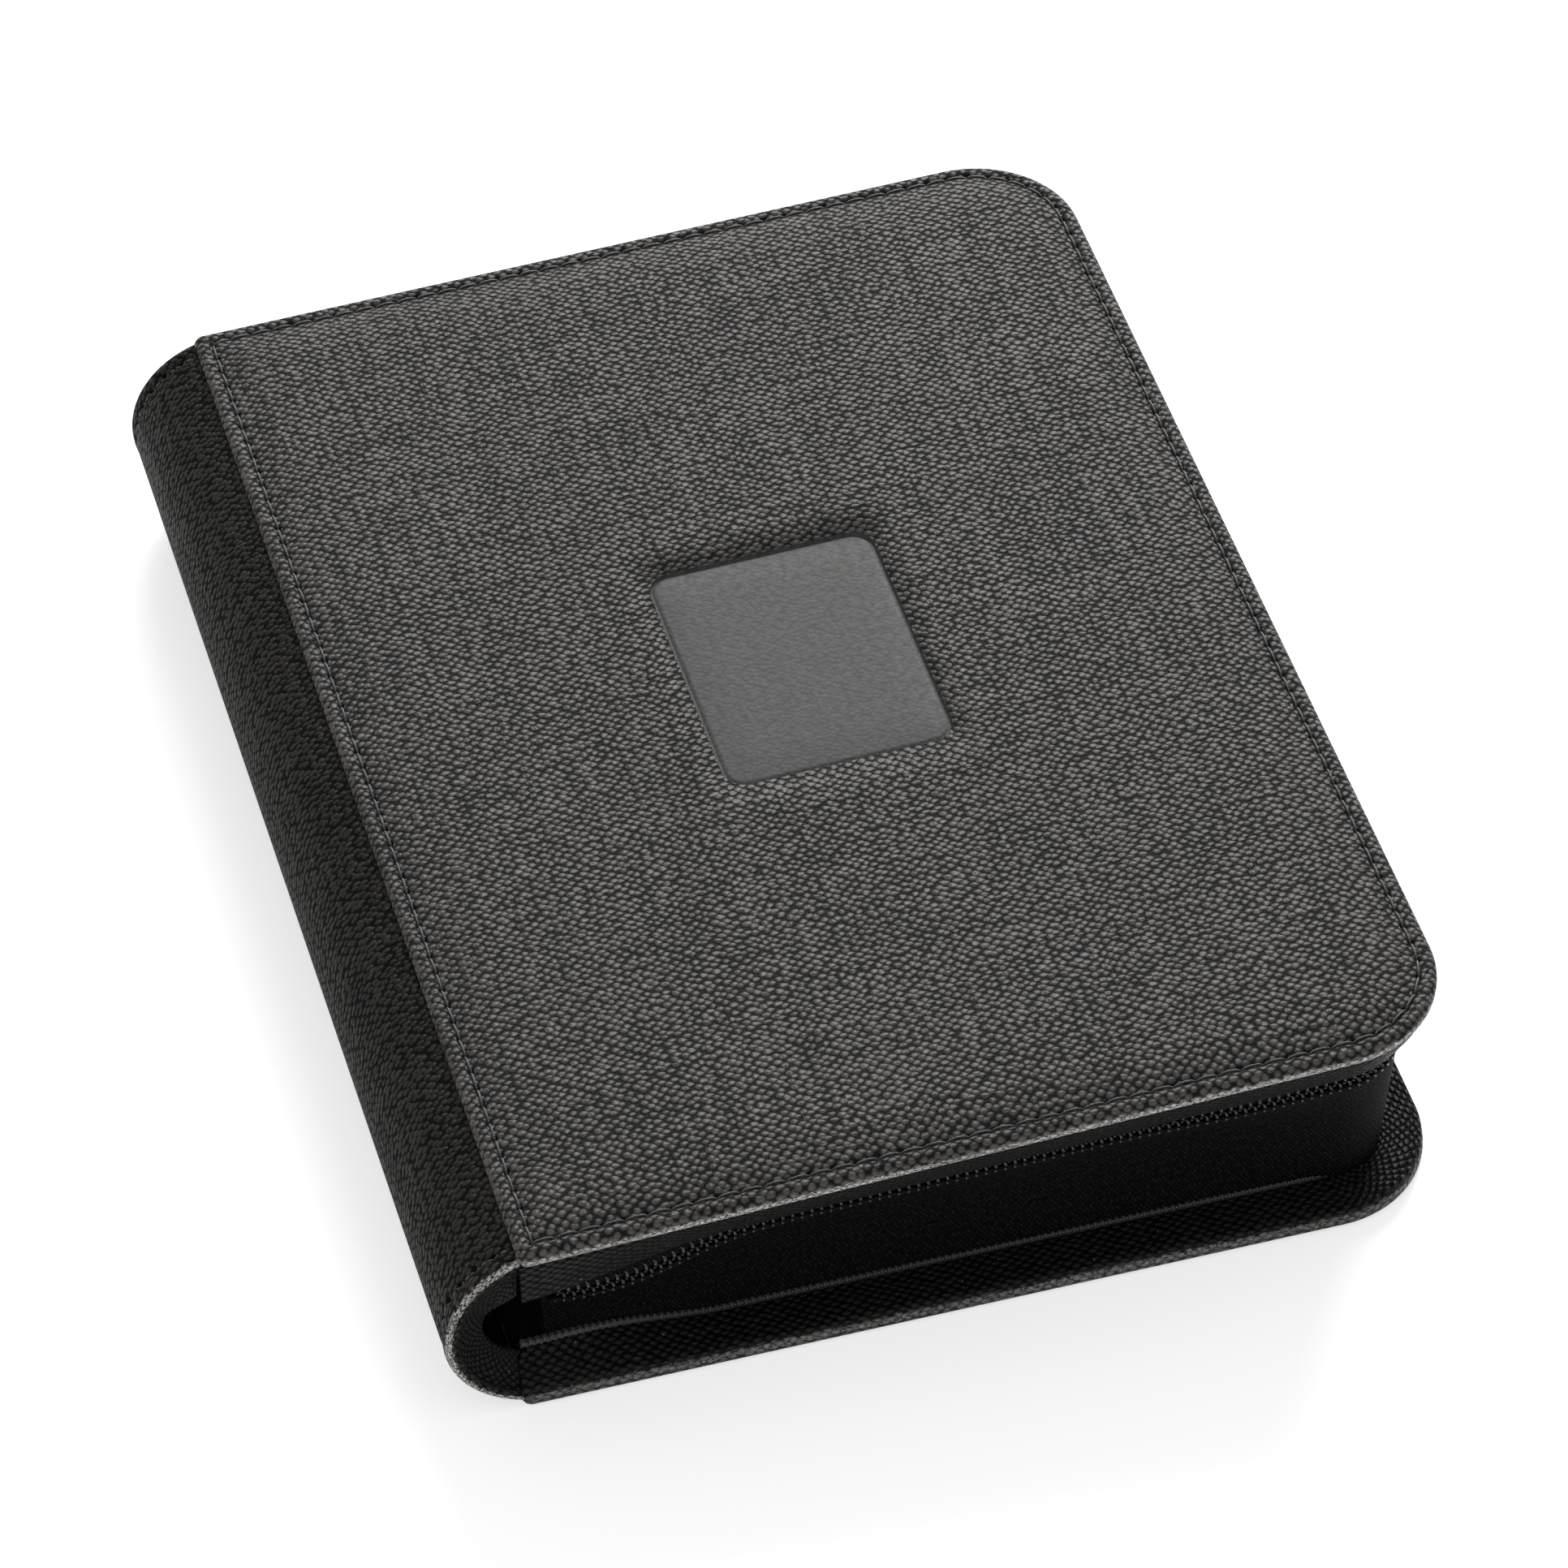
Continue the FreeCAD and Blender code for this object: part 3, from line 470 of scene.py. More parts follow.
def moulded(name, colour, rough, grain_size, depth, metallic=0.0, coat=0.0):
    """Plastic, board, foam or lacquer: one colour with a fine grain that breaks up its gloss."""
    material, tree, shader = new_material(name)
    place = add(tree, "TexCoord").outputs["Object"]
    fine = noise(tree, place, 1.0 / (grain_size * MM), 3.0)
    broad = noise(tree, place, 1.0 / (grain_size * 25 * MM), 2.0)
    darker, lighter = ([c * share for c in colour] + [1] for share in (0.8, 1.2))
    tint = blend_colour(tree, broad, darker, lighter)
    feed(tree, shader, tint, remap(tree, fine, 0.3, 0.7, rough * 0.85, rough * 1.15), fine, depth)
    shader.inputs["Metallic"].default_value = metallic
    shader.inputs["Coat Weight"].default_value = coat
    return material


# %% Leatherette and cloth
COVER_SKIN = leatherette(
    "charcoal leatherette", (0.001, 0.001, 0.001, 1), (0.098, 0.0915, 0.086, 1), 2.0, 1.6, 0.95,
    wear=1.0, band=(-2.3, -0.6), rough=(0.5, 0.74), gloss=0.2, holes=(STITCH_INSET, STITCH_PITCH))
# painted shade: the same leatherette as the front cover, with darker colours for the lower cover, which gets less
# light
BACK_SKIN_IN_SHADE = leatherette(
    "back leatherette in painted shade", (0.002, 0.002, 0.002, 1), (0.060, 0.058, 0.056, 1), 2.0, 1.6, 0.9,
    wear=0.28, band=(-2.1, -1.0), gloss=0.2, holes=(STITCH_INSET, STITCH_PITCH))
# painted shade: the same leatherette as the front cover, with darker colours, because the spine faces away from
# the light
SPINE_SKIN_IN_SHADE = leatherette(
    "spine leatherette in painted shade", (0.001, 0.001, 0.0008, 1), (0.028, 0.0264, 0.0232, 1), 1.9, 1.5, 0.9,
    wear=0.9, band=(-1.0, 0.3), rough=(0.5, 0.72), uneven=0.5, gloss=0.06,
    holes=(SPINE_STITCH_IN, STITCH_PITCH))
# painted shade: the same leatherette, painted much darker, because the hems and the spine's flanges lie in the
# shade of the gap between the covers
HEM_SKIN_IN_SHADE = leatherette(
    "hem leatherette in painted shade", (0.0005, 0.0005, 0.0005, 1), (0.016, 0.0156, 0.0148, 1), 2.1, 1.5, 1.5,
    uneven=0.2, slub=0.5, rough=(0.36, 0.6), gloss=0.09)
PULL_LOOK = ((0.006, 0.006, 0.006, 1), (0.05, 0.05, 0.05, 1), 1.6, 1.3, 0.18)
PULL_SKIN = leatherette("pull leatherette", *PULL_LOOK)
PULL_PART = leatherette("plain leatherette", *PULL_LOOK, mapped=False)
# painted shade: the tapes in the gap between the covers get a near-black cloth, darker than the same cloth on the
# engineered parts, because they lie in deep shade
TAPE_CLOTH_IN_SHADE = woven("zipper tape cloth in painted shade", (0.0004, 0.0004, 0.0004, 1), (0.022, 0.0235, 0.0225, 1),
                   0.85, 4.6, 0.25)
TAPE_PART = woven("tape cloth on parts", (0.003, 0.003, 0.003, 1), (0.030, 0.032, 0.034, 1),
                  0.62, 4.6, 0.12, mapped=False)
LINING_LOOK = ((0.004, 0.004, 0.004, 1), (0.022, 0.022, 0.023, 1), 0.45, 0.45, 0.06)
LINING_CLOTH = woven("lining cloth", *LINING_LOOK)
LINING_PART = woven("lining cloth on parts", *LINING_LOOK, mapped=False)
print("leatherette and cloth:", len(bpy.data.materials), "finishes")

# %% Plastic, metal, foam and board
NYLON = moulded("black nylon", (0.014, 0.014, 0.015), 0.20, 0.5, 0.005, coat=0.4)
STOP_PLASTIC = moulded("moulded stop", (0.004, 0.004, 0.004), 0.5, 0.4, 0.01)
LACQUER = moulded("black lacquered zinc", (0.022, 0.022, 0.024), 0.32, 0.6, 0.006, metallic=0.55, coat=0.5)
STRIP_PLASTIC = moulded("binding strip", (0.005, 0.005, 0.005), 0.5, 0.3, 0.02)
BENT_SHEET = moulded("stiffener sheet", (0.035, 0.035, 0.036), 0.55, 0.4, 0.02)
FOAM = moulded("padding foam", (0.10, 0.10, 0.10), 0.95, 0.5, 0.12)
BOARD = moulded("grey board", (0.28, 0.25, 0.21), 0.9, 0.35, 0.05)
PAGE_FILM = moulded("pocket film", (0.006, 0.006, 0.007), 0.22, 14.0, 0.2, coat=0.3)


# %% Thread, panel and floor
def thread_material(name, light, mapped=True, twists=22.0, depth=0.05):
    """Sewing thread: a sine along its length stands for the twist, so many radians a millimetre. The colour
    follows the sine: the troughs of the twist are painted near black, as painted shade, and the crests keep the
    thread's own colour.
    """
    material, tree, shader = new_material(name)
    sheet = sheet_map(tree) if mapped else own_place(tree)
    along = add(tree, "SeparateXYZ", {0: sheet}).outputs[0]
    twist = calc(tree, "SINE", calc(tree, "MULTIPLY", along, twists))
    twist = remap(tree, twist, -1.0, 1.0)
    bright = (light, light, light * 0.97, 1)
    # painted shade: the colour goes near black in each trough of the twist
    feed(tree, shader, blend_colour(tree, twist, (0.004, 0.004, 0.004, 1), bright), None, twist, depth)
    shader.inputs["Roughness"].default_value = 0.38
    shader.inputs["Sheen Weight"].default_value = 0.2
    return material


def panel_material():
    """The blank debossed panel: pressed smooth, so only a ghost of the weave is left."""
    material, tree, shader = new_material("pressed panel")
    sheet = sheet_map(tree)
    fine_weave = {"Sheet": sheet, "Bump Width": 1.5, "Bump Length": 1.1, "Unevenness": 0.7, "Slub": 1.0}
    grain = place_group(tree, WEAVE, fine_weave)
    cloudy = noise(tree, sheet, 0.7, 3.0)
    ghost = calc(tree, "MULTIPLY", grain["Height"], 0.55)
    ghost = calc(tree, "ADD", ghost, calc(tree, "MULTIPLY", cloudy, 0.5))
    low, high = (0.033, 0.032, 0.031, 1), (0.052, 0.051, 0.050, 1)
    colour = blend_colour(tree, remap(tree, ghost, 0.2, 0.9), low, high)
    feed(tree, shader, colour, remap(tree, cloudy, 0.3, 0.7, 0.5, 0.6), ghost, 0.03)
    shader.inputs["Specular IOR Level"].default_value = 0.25
    return material


def floor_material():
    """Plain white, so that the binder's shadow reads."""
    material, tree, shader = new_material("white sweep")
    place = add(tree, "TexCoord").outputs["Object"]
    colour = blend_colour(tree, noise(tree, place, 3.0), (0.90, 0.90, 0.90, 1), (0.93, 0.93, 0.93, 1))
    feed(tree, shader, colour)
    shader.inputs["Roughness"].default_value = 0.9
    shader.inputs["Specular IOR Level"].default_value = 0.1
    shader.inputs["Emission Color"].default_value = (1, 1, 1, 1)
    shader.inputs["Emission Strength"].default_value = 0.52
    return material


THREAD = thread_material("bonded thread", 0.040)
# painted shade: the overcast bead goes near black between its ribs, one trough for each rib
HEM_THREAD = thread_material("overcast thread", 0.030, twists=5.46, depth=0.3)
THREAD_PART = thread_material("thread on parts", 0.040, mapped=False)
PANEL = panel_material()
floor_mesh.materials.append(floor_material())
print("materials:", len(bpy.data.materials))


# %% [markdown]
# ## Making meshes
# Almost every piece is a sheet or a strip that follows the cover's outline, so two ideas do most
# of the work. `outline` gives points right round a cover at any inset. `track_round` gives a U
# round the three free sides, and `strip` joins rows of points that follow it into one sheet. Each
# piece gets a UV map named sheet, in millimetres on the unfolded material, which the weave follows
# round every bend.

# %% Piece maker
def make_piece(name, points, faces, finishes, sheet, edge=None, face_finish=None, tilted=False,
               smooth=True, closed=True):
    """A mesh object from points in millimetres, with its maps and finishes. tilted leans it with the
    front cover, and closed turns the faces of a closed shape outwards."""
    points = lean(points) if tilted else np.asarray(points, float)
    mesh = bpy.data.meshes.new(name)
    mesh.from_pydata((points * MM).tolist(), [], faces)
    for finish in finishes:
        mesh.materials.append(finish)
    corners = np.zeros(len(mesh.loops), np.int32)
    mesh.loops.foreach_get("vertex_index", corners)
    for label, flat in (("sheet", sheet), ("edge", edge)):
        if flat is not None:
            layer = mesh.uv_layers.new(name=label)
            layer.data.foreach_set("uv", np.asarray(flat, np.float32)[corners].ravel())
    if face_finish is not None:
        mesh.polygons.foreach_set("material_index", np.asarray(face_finish, np.int32))
    mesh.polygons.foreach_set("use_smooth", np.full(len(faces), smooth))
    mesh.validate()
    if closed:
        shell = bmesh.new()
        shell.from_mesh(mesh)
        bmesh.ops.recalc_face_normals(shell, faces=shell.faces)
        shell.to_mesh(mesh)
        shell.free()
    mesh.update()
    piece = bpy.data.objects.new(name, mesh)
    bpy.context.scene.collection.objects.link(piece)
    return piece


def finish_piece(piece, body, slot, *nodes):
    """Say what the piece moves with, and which nodes it stands for. slot is not used."""
    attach(piece, body)
    if nodes:
        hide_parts(*nodes)
    print("%-22s %7d faces, moves with %s" % (piece.name, len(piece.data.polygons), body))


def grid_faces(rows, columns, closed=False, flip=False):
    """Quads of a grid of points stored row by row; closed joins the last column to the first."""
    faces = []
    for row in range(rows - 1):
        for column in range(columns if closed else columns - 1):
            a = row * columns + column
            b = row * columns + (column + 1) % columns
            quad = (a, b, b + columns, a + columns)
            faces.append(quad[::-1] if flip else quad)
    return faces


# %% Outlines
SIDE_POINTS = {"short": 220, "fore": 300, "spine": 358, "corner": 48, "nick": 6}
NICK = 1.6


def quarter(centre, radius, start, count):
    """A quarter circle from a start angle in degrees, without its last point."""
    turns = np.radians(start + 90 * np.arange(count) / count)
    return np.stack([centre[0] + radius * np.cos(turns), centre[1] + radius * np.sin(turns)], 1)


def side(start, end, count):
    """A straight row of points, without its last one."""
    share = (np.arange(count) / count)[:, None]
    return np.array(start) * (1 - share) + np.array(end) * share


def outline(inset):
    """Right round a cover, counter-clockwise from its near spine corner, always with as many points."""
    x, y = HALF_W - inset, HALF_L - inset
    r, q = max(CORNER - inset, 0.01), max(NICK - inset, 0.01)
    n = SIDE_POINTS
    return np.concatenate([
        side((q - x, -y), (x - r, -y), n["short"]), quarter((x - r, r - y), r, -90, n["corner"]),
        side((x, r - y), (x, y - r), n["fore"]), quarter((x - r, y - r), r, 0, n["corner"]),
        side((x - r, y), (q - x, y), n["short"]), quarter((q - x, y - q), q, 90, n["nick"]),
        side((-x, y - q), (-x, q - y), n["spine"]), quarter((q - x, q - y), q, 180, n["nick"])])


def travelled(points, closed=False):
    """Distance travelled along a row of points, in millimetres."""
    steps = np.linalg.norm(np.diff(points, axis=0, append=points[:1] if closed else points[-1:]), axis=1)
    return np.concatenate([[0], np.cumsum(steps)[:-1]]), steps.sum()


AT_SPINE = np.zeros(len(outline(0)))
spine_first = 2 * (SIDE_POINTS["short"] + SIDE_POINTS["corner"]) + SIDE_POINTS["fore"]
AT_SPINE[spine_first + SIDE_POINTS["nick"] // 2:-SIDE_POINTS["nick"] // 2] = 1.0
print("points round a cover:", len(AT_SPINE))

# %% [markdown]
# ## Cover skins and their stitching
# A cover is board and thin foam wrapped in leatherette, whose edge is folded under and stitched
# all round. The needle pulls the skin down at each hole, so the sheet is built as rings that
# follow the edge: the fold, a puffed rim, the stitch line with a dimple at every hole, then the
# padded field. The dimples are real geometry, because they catch the light at the silhouette.
# The front field closes on a smooth debossed panel, left blank.

# %% Stitch line and skin section
stitch_path = outline(STITCH_INSET)
stitch_s, stitch_total = travelled(stitch_path, closed=True)
stitch_count = round(stitch_total / STITCH_PITCH)
pitch = stitch_total / stitch_count
hole_phase = np.abs((stitch_s / pitch + 0.5) % 1 - 0.5) * pitch
# inset from the edge, and level relative to the outer face, from the inside of the fold to the field
SKIN_SECTION = [
    (1.6, -2.9), (0.8, -2.85), (0.3, -2.6), (0.06, -2.15), (0.0, -1.6), (0.05, -1.1),
    (0.22, -0.65), (0.5, -0.32), (0.85, -0.12), (1.25, -0.02), (1.65, 0.0), (2.0, -0.03),
    (2.3, -0.08), (2.55, -0.12), (2.8, -0.14), (3.05, -0.12), (3.35, -0.07), (3.8, 0.05),
    (4.6, 0.26), (6.0, 0.60), (8.0, 0.98), (11.0, 1.32), (15.0, 1.50)]
# beside the spine the fold stops here, so that the spine has room to turn
THIN_FOLD = -1.1
print("stitches round a cover: %d, %.2f mm apart" % (stitch_count, pitch))


def rim_relief(inset):
    """How far the stitches pull the skin down, and how it puffs up between them."""
    hole = np.exp(-(hole_phase / 0.50) ** 2)
    line_pull = 0.16 * math.exp(-((inset - STITCH_INSET) / 0.45) ** 2)
    hole_pull = 0.80 * math.exp(-((inset - STITCH_INSET) / 0.38) ** 2)
    puff = 0.10 * math.exp(-((inset - 1.4) / 0.6) ** 2)
    return puff * (1 - 2 * hole) - line_pull - hole_pull * hole


def panel_outline(directions, half_x, half_y, radius):
    """Where rays from the middle cross a rounded rectangle."""
    points = []
    for dx, dy in directions:
        dx, dy = dx or 1e-9, dy or 1e-9
        reach = min(half_x / abs(dx), half_y / abs(dy))
        x, y = abs(dx) * reach, abs(dy) * reach
        cx, cy = half_x - radius, half_y - radius
        if x > cx and y > cy:
            a, b, c = dx * dx + dy * dy, abs(dx) * cx + abs(dy) * cy, cx * cx + cy * cy - radius * radius
            reach = (b + math.sqrt(max(b * b - a * c, 0))) / a
        points.append((dx * reach, dy * reach))
    return np.array(points)


PANEL_HALF = (19.0, 25.0)
PANEL_ROUND = 4.0
# how far in from the panel's outline, and how far down from the field, the pressed edge goes
PANEL_EDGE = [(0.06, 0.16), (0.16, 0.48), (0.42, 0.55), (0.66, 0.40), (1.3, 0.34)]
FIELD_STEPS = 9
FAR_FROM_EDGE = 50.0


def cover_skin(name, outer_level, up, with_panel, finish):
    """The whole skin of one cover, as one sheet from its turned-under fold to the middle."""
    rings, flats, edges, kinds = [], [], [], []
    section = np.array(SKIN_SECTION)
    lengths = np.linalg.norm(np.diff(section, axis=0), axis=1)
    unrolled = section[-1][0] - np.concatenate([np.cumsum(lengths[::-1])[::-1], [0]])
    on_stitches = unrolled[list(section[:, 0]).index(STITCH_INSET)]
    for (inset, drop), flat_inset in zip(SKIN_SECTION, unrolled):
        heights = np.full(len(AT_SPINE), drop)
        if drop < -0.2 and inset < 2:
            heights = np.where(AT_SPINE > 0, np.maximum(heights, THIN_FOLD), heights)
        heights = heights + rim_relief(inset) if inset > 0.5 and drop > -0.5 else heights
        if not up:
            heights = np.minimum(heights, 0.0)
        rings.append((outline(inset), heights))
        flats.append(outline(flat_inset))
        edges.append(np.stack([stitch_s * STITCH_PITCH / pitch,
                               np.full(len(stitch_s), flat_inset - on_stitches + STITCH_INSET)], 1))
    start = rings[-1][0]
    swell = section[-1][1] if up else 0.0
    target = panel_outline(start, *PANEL_HALF, PANEL_ROUND) if with_panel else start * 0.25
    for step in range(1, FIELD_STEPS + 1):
        share = step / FIELD_STEPS
        rings.append((start * (1 - share) + target * share, np.full(len(start), swell + 0.10 * share * up)))
    field_rings = len(rings)
    if with_panel:
        crest = rings[-1][1][0]
        for shrink, drop in PANEL_EDGE:
            half_x, half_y = (half - shrink for half in PANEL_HALF)
            tight = panel_outline(start, half_x, half_y, PANEL_ROUND - shrink)
            rings.append((tight, np.full(len(start), crest - drop)))
        for share in (0.7, 0.35):
            rings.append((rings[-1][0] * share, rings[-1][1]))
    for points, _ in rings[len(flats):]:
        flats.append(points)
        edges.append(np.stack([stitch_s, np.full(len(stitch_s), FAR_FROM_EDGE)], 1))
    sign = 1 if up else -1
    points = np.concatenate([np.column_stack([xy, outer_level + sign * z]) for xy, z in rings])
    count = len(start)
    faces = grid_faces(len(rings), count, closed=True, flip=not up)
    middle = len(points)
    points = np.vstack([points, [0, 0, points[-1][2]]])
    last = middle - count
    fan = [(last + i, last + (i + 1) % count, middle) for i in range(count)]
    faces += fan if up else [tri[::-1] for tri in fan]
    flat = np.vstack(flats + [[[0, 0]]])
    edge = np.vstack(edges + [[[0, FAR_FROM_EDGE]]])
    if with_panel:
        plain = (field_rings - 1) * count
        kinds = [0] * plain + [1] * (len(faces) - plain)
    finishes = [finish, PANEL] if with_panel else [finish]
    return make_piece(name, points, faces, finishes, flat, edge, kinds or None, tilted=up, closed=False)


finish_piece(cover_skin("front_cover_skin", SPINE_HEIGHT, True, True, COVER_SKIN), "front_cover",
             "cover_leatherette", "front_skin")
finish_piece(cover_skin("back_cover_skin", 0.0, False, False, BACK_SKIN_IN_SHADE), "back_cover",
             "cover_leatherette", "back_skin")


# %% Thread
def tube(path, radius, sides=6, squash=1.0):
    """Rings of points round a path, with its faces and its map. Each end is closed by a flat cap."""
    path = np.asarray(path, float)
    tangent = np.gradient(path, axis=0)
    tangent /= np.linalg.norm(tangent, axis=1)[:, None]
    guide = np.array([0.0, 0.0, 1.0])
    across = np.cross(tangent, guide)
    short = np.linalg.norm(across, axis=1) < 1e-3
    across[short] = (1.0, 0.0, 0.0)
    across /= np.linalg.norm(across, axis=1)[:, None]
    upward = np.cross(across, tangent)
    radii = np.broadcast_to(np.asarray(radius, float), (len(path),))
    turns = np.arange(sides) * 2 * math.pi / sides
    level_part = across[:, None] * np.cos(turns)[None, :, None]
    upward_part = upward[:, None] * np.sin(turns)[None, :, None] * squash
    ring = level_part + upward_part
    points = (path[:, None] + ring * radii[:, None, None]).reshape(-1, 3)
    run, _ = travelled(path)
    flat = np.stack([np.repeat(run, sides), np.tile(turns * 0.2, len(path))], 1)
    faces = grid_faces(len(path), sides, closed=True)
    faces.append(tuple(range(sides))[::-1])
    faces.append(tuple(range(len(points) - sides, len(points))))
    return points, faces, flat


def join_shapes(shapes):
    """Put many small shapes into one list of points, faces and map."""
    points, faces, flats, shift = [], [], [], 0
    for shape_points, shape_faces, flat in shapes:
        points.append(shape_points)
        faces += [tuple(i + shift for i in face) for face in shape_faces]
        flats.append(flat)
        shift += len(shape_points)
    return np.vstack(points), faces, np.vstack(flats)


THREAD_RADIUS = 0.22
# share of the way from the middle of a stitch, and height over the skin
STITCH_ARCH = [(-0.50, -0.60), (-0.42, -0.25), (-0.28, 0.04), (0.0, 0.14), (0.28, 0.04), (0.42, -0.25),
               (0.50, -0.60)]


def stitch_shape(start, end, lift):
    """One stitch between two holes: it dives into the skin at both ends."""
    skew = random.uniform(-0.05, 0.05)
    sideways = np.cross(end - start, lift)
    sideways /= np.linalg.norm(sideways)
    path = [start + (end - start) * (share + 0.5) + lift * rise + sideways * skew * 4 * share
            for share, rise in STITCH_ARCH]
    return tube(path, THREAD_RADIUS)


def cover_thread(name, outer_level, sign):
    """All the stitches round a cover; sign is 1 on the front and -1 on the underside."""
    marks = np.arange(stitch_count + 1) * pitch
    around = np.vstack([stitch_path, stitch_path[:1]])
    run = np.append(stitch_s, stitch_total)
    sunk = outer_level - sign * THREAD_RADIUS
    spots = [np.array([np.interp(m, run, around[:, 0]), np.interp(m, run, around[:, 1]), sunk])
             for m in marks]
    lift = np.array([0.0, 0.0, float(sign)])
    shapes = [stitch_shape(a, b, lift) for a, b in zip(spots, spots[1:])]
    points, faces, flat = join_shapes(shapes)
    return make_piece(name, points, faces, [THREAD], flat, tilted=sign > 0)


finish_piece(cover_thread("front_stitches", SPINE_HEIGHT, 1), "front_cover", "thread", "front_thread")
finish_piece(cover_thread("back_stitches", 0.0, -1), "back_cover", "thread", "back_thread")

# %% [markdown]
# ## The three free sides
# Everything else that runs round the binder follows the same U: near side, fore edge, far side.
# `track_round` gives that U at any inset, always with the same number of points, so rows of
# points at different insets join into clean strips.

# %% The U-shaped track
TRACK_COUNTS = (300, 40, 400, 40, 301)


def track_round(inset, near_start, far_end):
    """The U at an inset, from a place on the near side to a place on the far side."""
    x, y = HALF_W - inset, HALF_L - inset
    r = max(CORNER - inset, 0.5)
    near, turn, fore, turn_back, far = TRACK_COUNTS
    far_share = (np.arange(far) / (far - 1))[:, None]
    far_side = np.array((x - r, y)) * (1 - far_share) + np.array((far_end, y)) * far_share
    return np.concatenate([
        side((near_start, -y), (x - r, -y), near), quarter((x - r, r - y), r, -90, turn),
        side((x, r - y), (x, y - r), fore), quarter((x - r, y - r), r, 0, turn_back), far_side])


def smooth_step(value, low, high):
    """0 below low, 1 above high, and a smooth rise between."""
    share = np.clip((np.asarray(value, float) - low) / (high - low), 0, 1)
    return share * share * (3 - 2 * share)


def on_track(inset, near_start, far_end):
    """The same, where the inset may differ from point to point."""
    inset = np.asarray(inset, float)
    outer, inner = track_round(0.0, near_start, far_end), track_round(1.0, near_start, far_end)
    return outer + (inner - outer) * inset[:, None]


def strip(rows, closed=False):
    """Join rows of equal length into one sheet, with its map along and across."""
    rows = [np.asarray(row, float) for row in rows]
    run, _ = travelled(rows[0])
    across, flats = 0.0, []
    for index, row in enumerate(rows):
        if index:
            across += float(np.median(np.linalg.norm(row - rows[index - 1], axis=1)))
        flats.append(np.stack([run, np.full(len(run), across)], 1))
    points = np.vstack(rows)
    faces = grid_faces(len(rows), len(run), flip=True)
    if closed:
        count, last = len(run), (len(rows) - 1) * len(run)
        faces += [(i, i + 1, last + i + 1, last + i) for i in range(count - 1)]
        faces.append(tuple(row * count for row in range(len(rows))))
        faces.append(tuple(row * count + count - 1 for row in range(len(rows)))[::-1])
    return points, faces, np.vstack(flats)


print("points round the three free sides:", sum(TRACK_COUNTS))

# %% [markdown]
# ## Hems
# Each cover's skin is folded to the inside and trimmed with a band of the same leatherette, eight
# millimetres wide. On the front cover it hangs down and leans inwards, because the zipper pulls
# it in. On the back cover it stands up beside the spine, lies down further along, and its free
# edge is overcast with thick thread, which shows as a ribbed bead. The bead is a rope-like tube
# with ribs that slant round it.

# %% Front hem
HALF_HEM = 0.4
HEM_SLOPE, NEAR_HEM_SLOPE, HEM_LEANS_BY = math.radians(17), math.radians(27), 34.0
HEM_TOP_INSET, HEM_SUNK = 0.8, 0.5
front_under = SPINE_HEIGHT - COVER
hem_start = -HALF_W + 0.1
hem_base = track_round(0.0, hem_start, hem_start)


def hem_slopes(track):
    """The hem hangs upright beside the spine, and leans in further along, most on the near side."""
    near = smooth_step(-track[:, 1], HALF_L - 60, HALF_L - 8)
    settled = HEM_SLOPE + (NEAR_HEM_SLOPE - HEM_SLOPE) * near
    return settled * smooth_step(track[:, 0] + HALF_W, -4.0, HEM_LEANS_BY)


def hem_row(down, out):
    """A line of the hanging hem: so far down it, and so far out from its middle layer."""
    slopes = hem_slopes(hem_base)
    insets = HEM_TOP_INSET + down * np.sin(slopes) - out * np.cos(slopes)
    levels = front_under + HEM_SUNK - down * np.cos(slopes) - out * np.sin(slopes)
    return np.column_stack([on_track(insets, hem_start, hem_start), levels])


# how far down the hem, and how far out from its middle layer
hem_section = [(0.0, 0.4), (1.2, 0.50), (2.8, 0.56), (4.6, 0.52), (6.4, 0.45), (7.6, HALF_HEM), (8.1, 0.3),
               (8.35, 0.0), (8.1, -0.3), (7.5, -HALF_HEM), (4.0, -HALF_HEM), (0.0, -HALF_HEM)]
points, faces, flat = strip([hem_row(down, out) for down, out in hem_section], closed=True)
finish_piece(make_piece("front_hem_band", points, faces, [HEM_SKIN_IN_SHADE], flat, tilted=True), "front_cover",
             "hem_leatherette", "front_hem")

# %% Back hem
# how far in from the cover's edge, and how high, where the hem lies flat
back_hem_section = [(0.35, 3.0), (0.25, 3.35), (0.45, 3.75), (0.95, 3.98), (2.5, 4.06), (5.0, 4.06),
                    (7.3, 4.0), (7.9, 3.8), (8.1, 3.5), (8.1, 3.2), (4.0, 3.2)]
HEM_FOOT, HEM_STAND, HEM_SETTLES = (0.6, 3.4), math.radians(48), 34.0


def back_hem_point(inset, level_at, track):
    """The hem stands up beside the spine, like the spine's flange, and lies down further along."""
    stand = HEM_STAND * (1 - smooth_step(track[:, 0] + HALF_W, 0, HEM_SETTLES))
    out, rise = inset - HEM_FOOT[0], level_at - HEM_FOOT[1]
    return (HEM_FOOT[0] + out * np.cos(stand) - rise * np.sin(stand),
            HEM_FOOT[1] + out * np.sin(stand) + rise * np.cos(stand))


rows = []
for inset, level_at in back_hem_section:
    insets, levels = back_hem_point(inset, level_at, hem_base)
    rows.append(np.column_stack([on_track(insets, hem_start, hem_start), levels]))
points, faces, flat = strip(rows, closed=True)
finish_piece(make_piece("back_hem_band", points, faces, [HEM_SKIN_IN_SHADE], flat), "back_cover",
             "hem_leatherette", "back_hem")

# %% Overcast edge of the back hem
RIB_PITCH, BEAD_RADIUS = 1.15, 0.62
BEAD_AT = (8.1, 4.15)


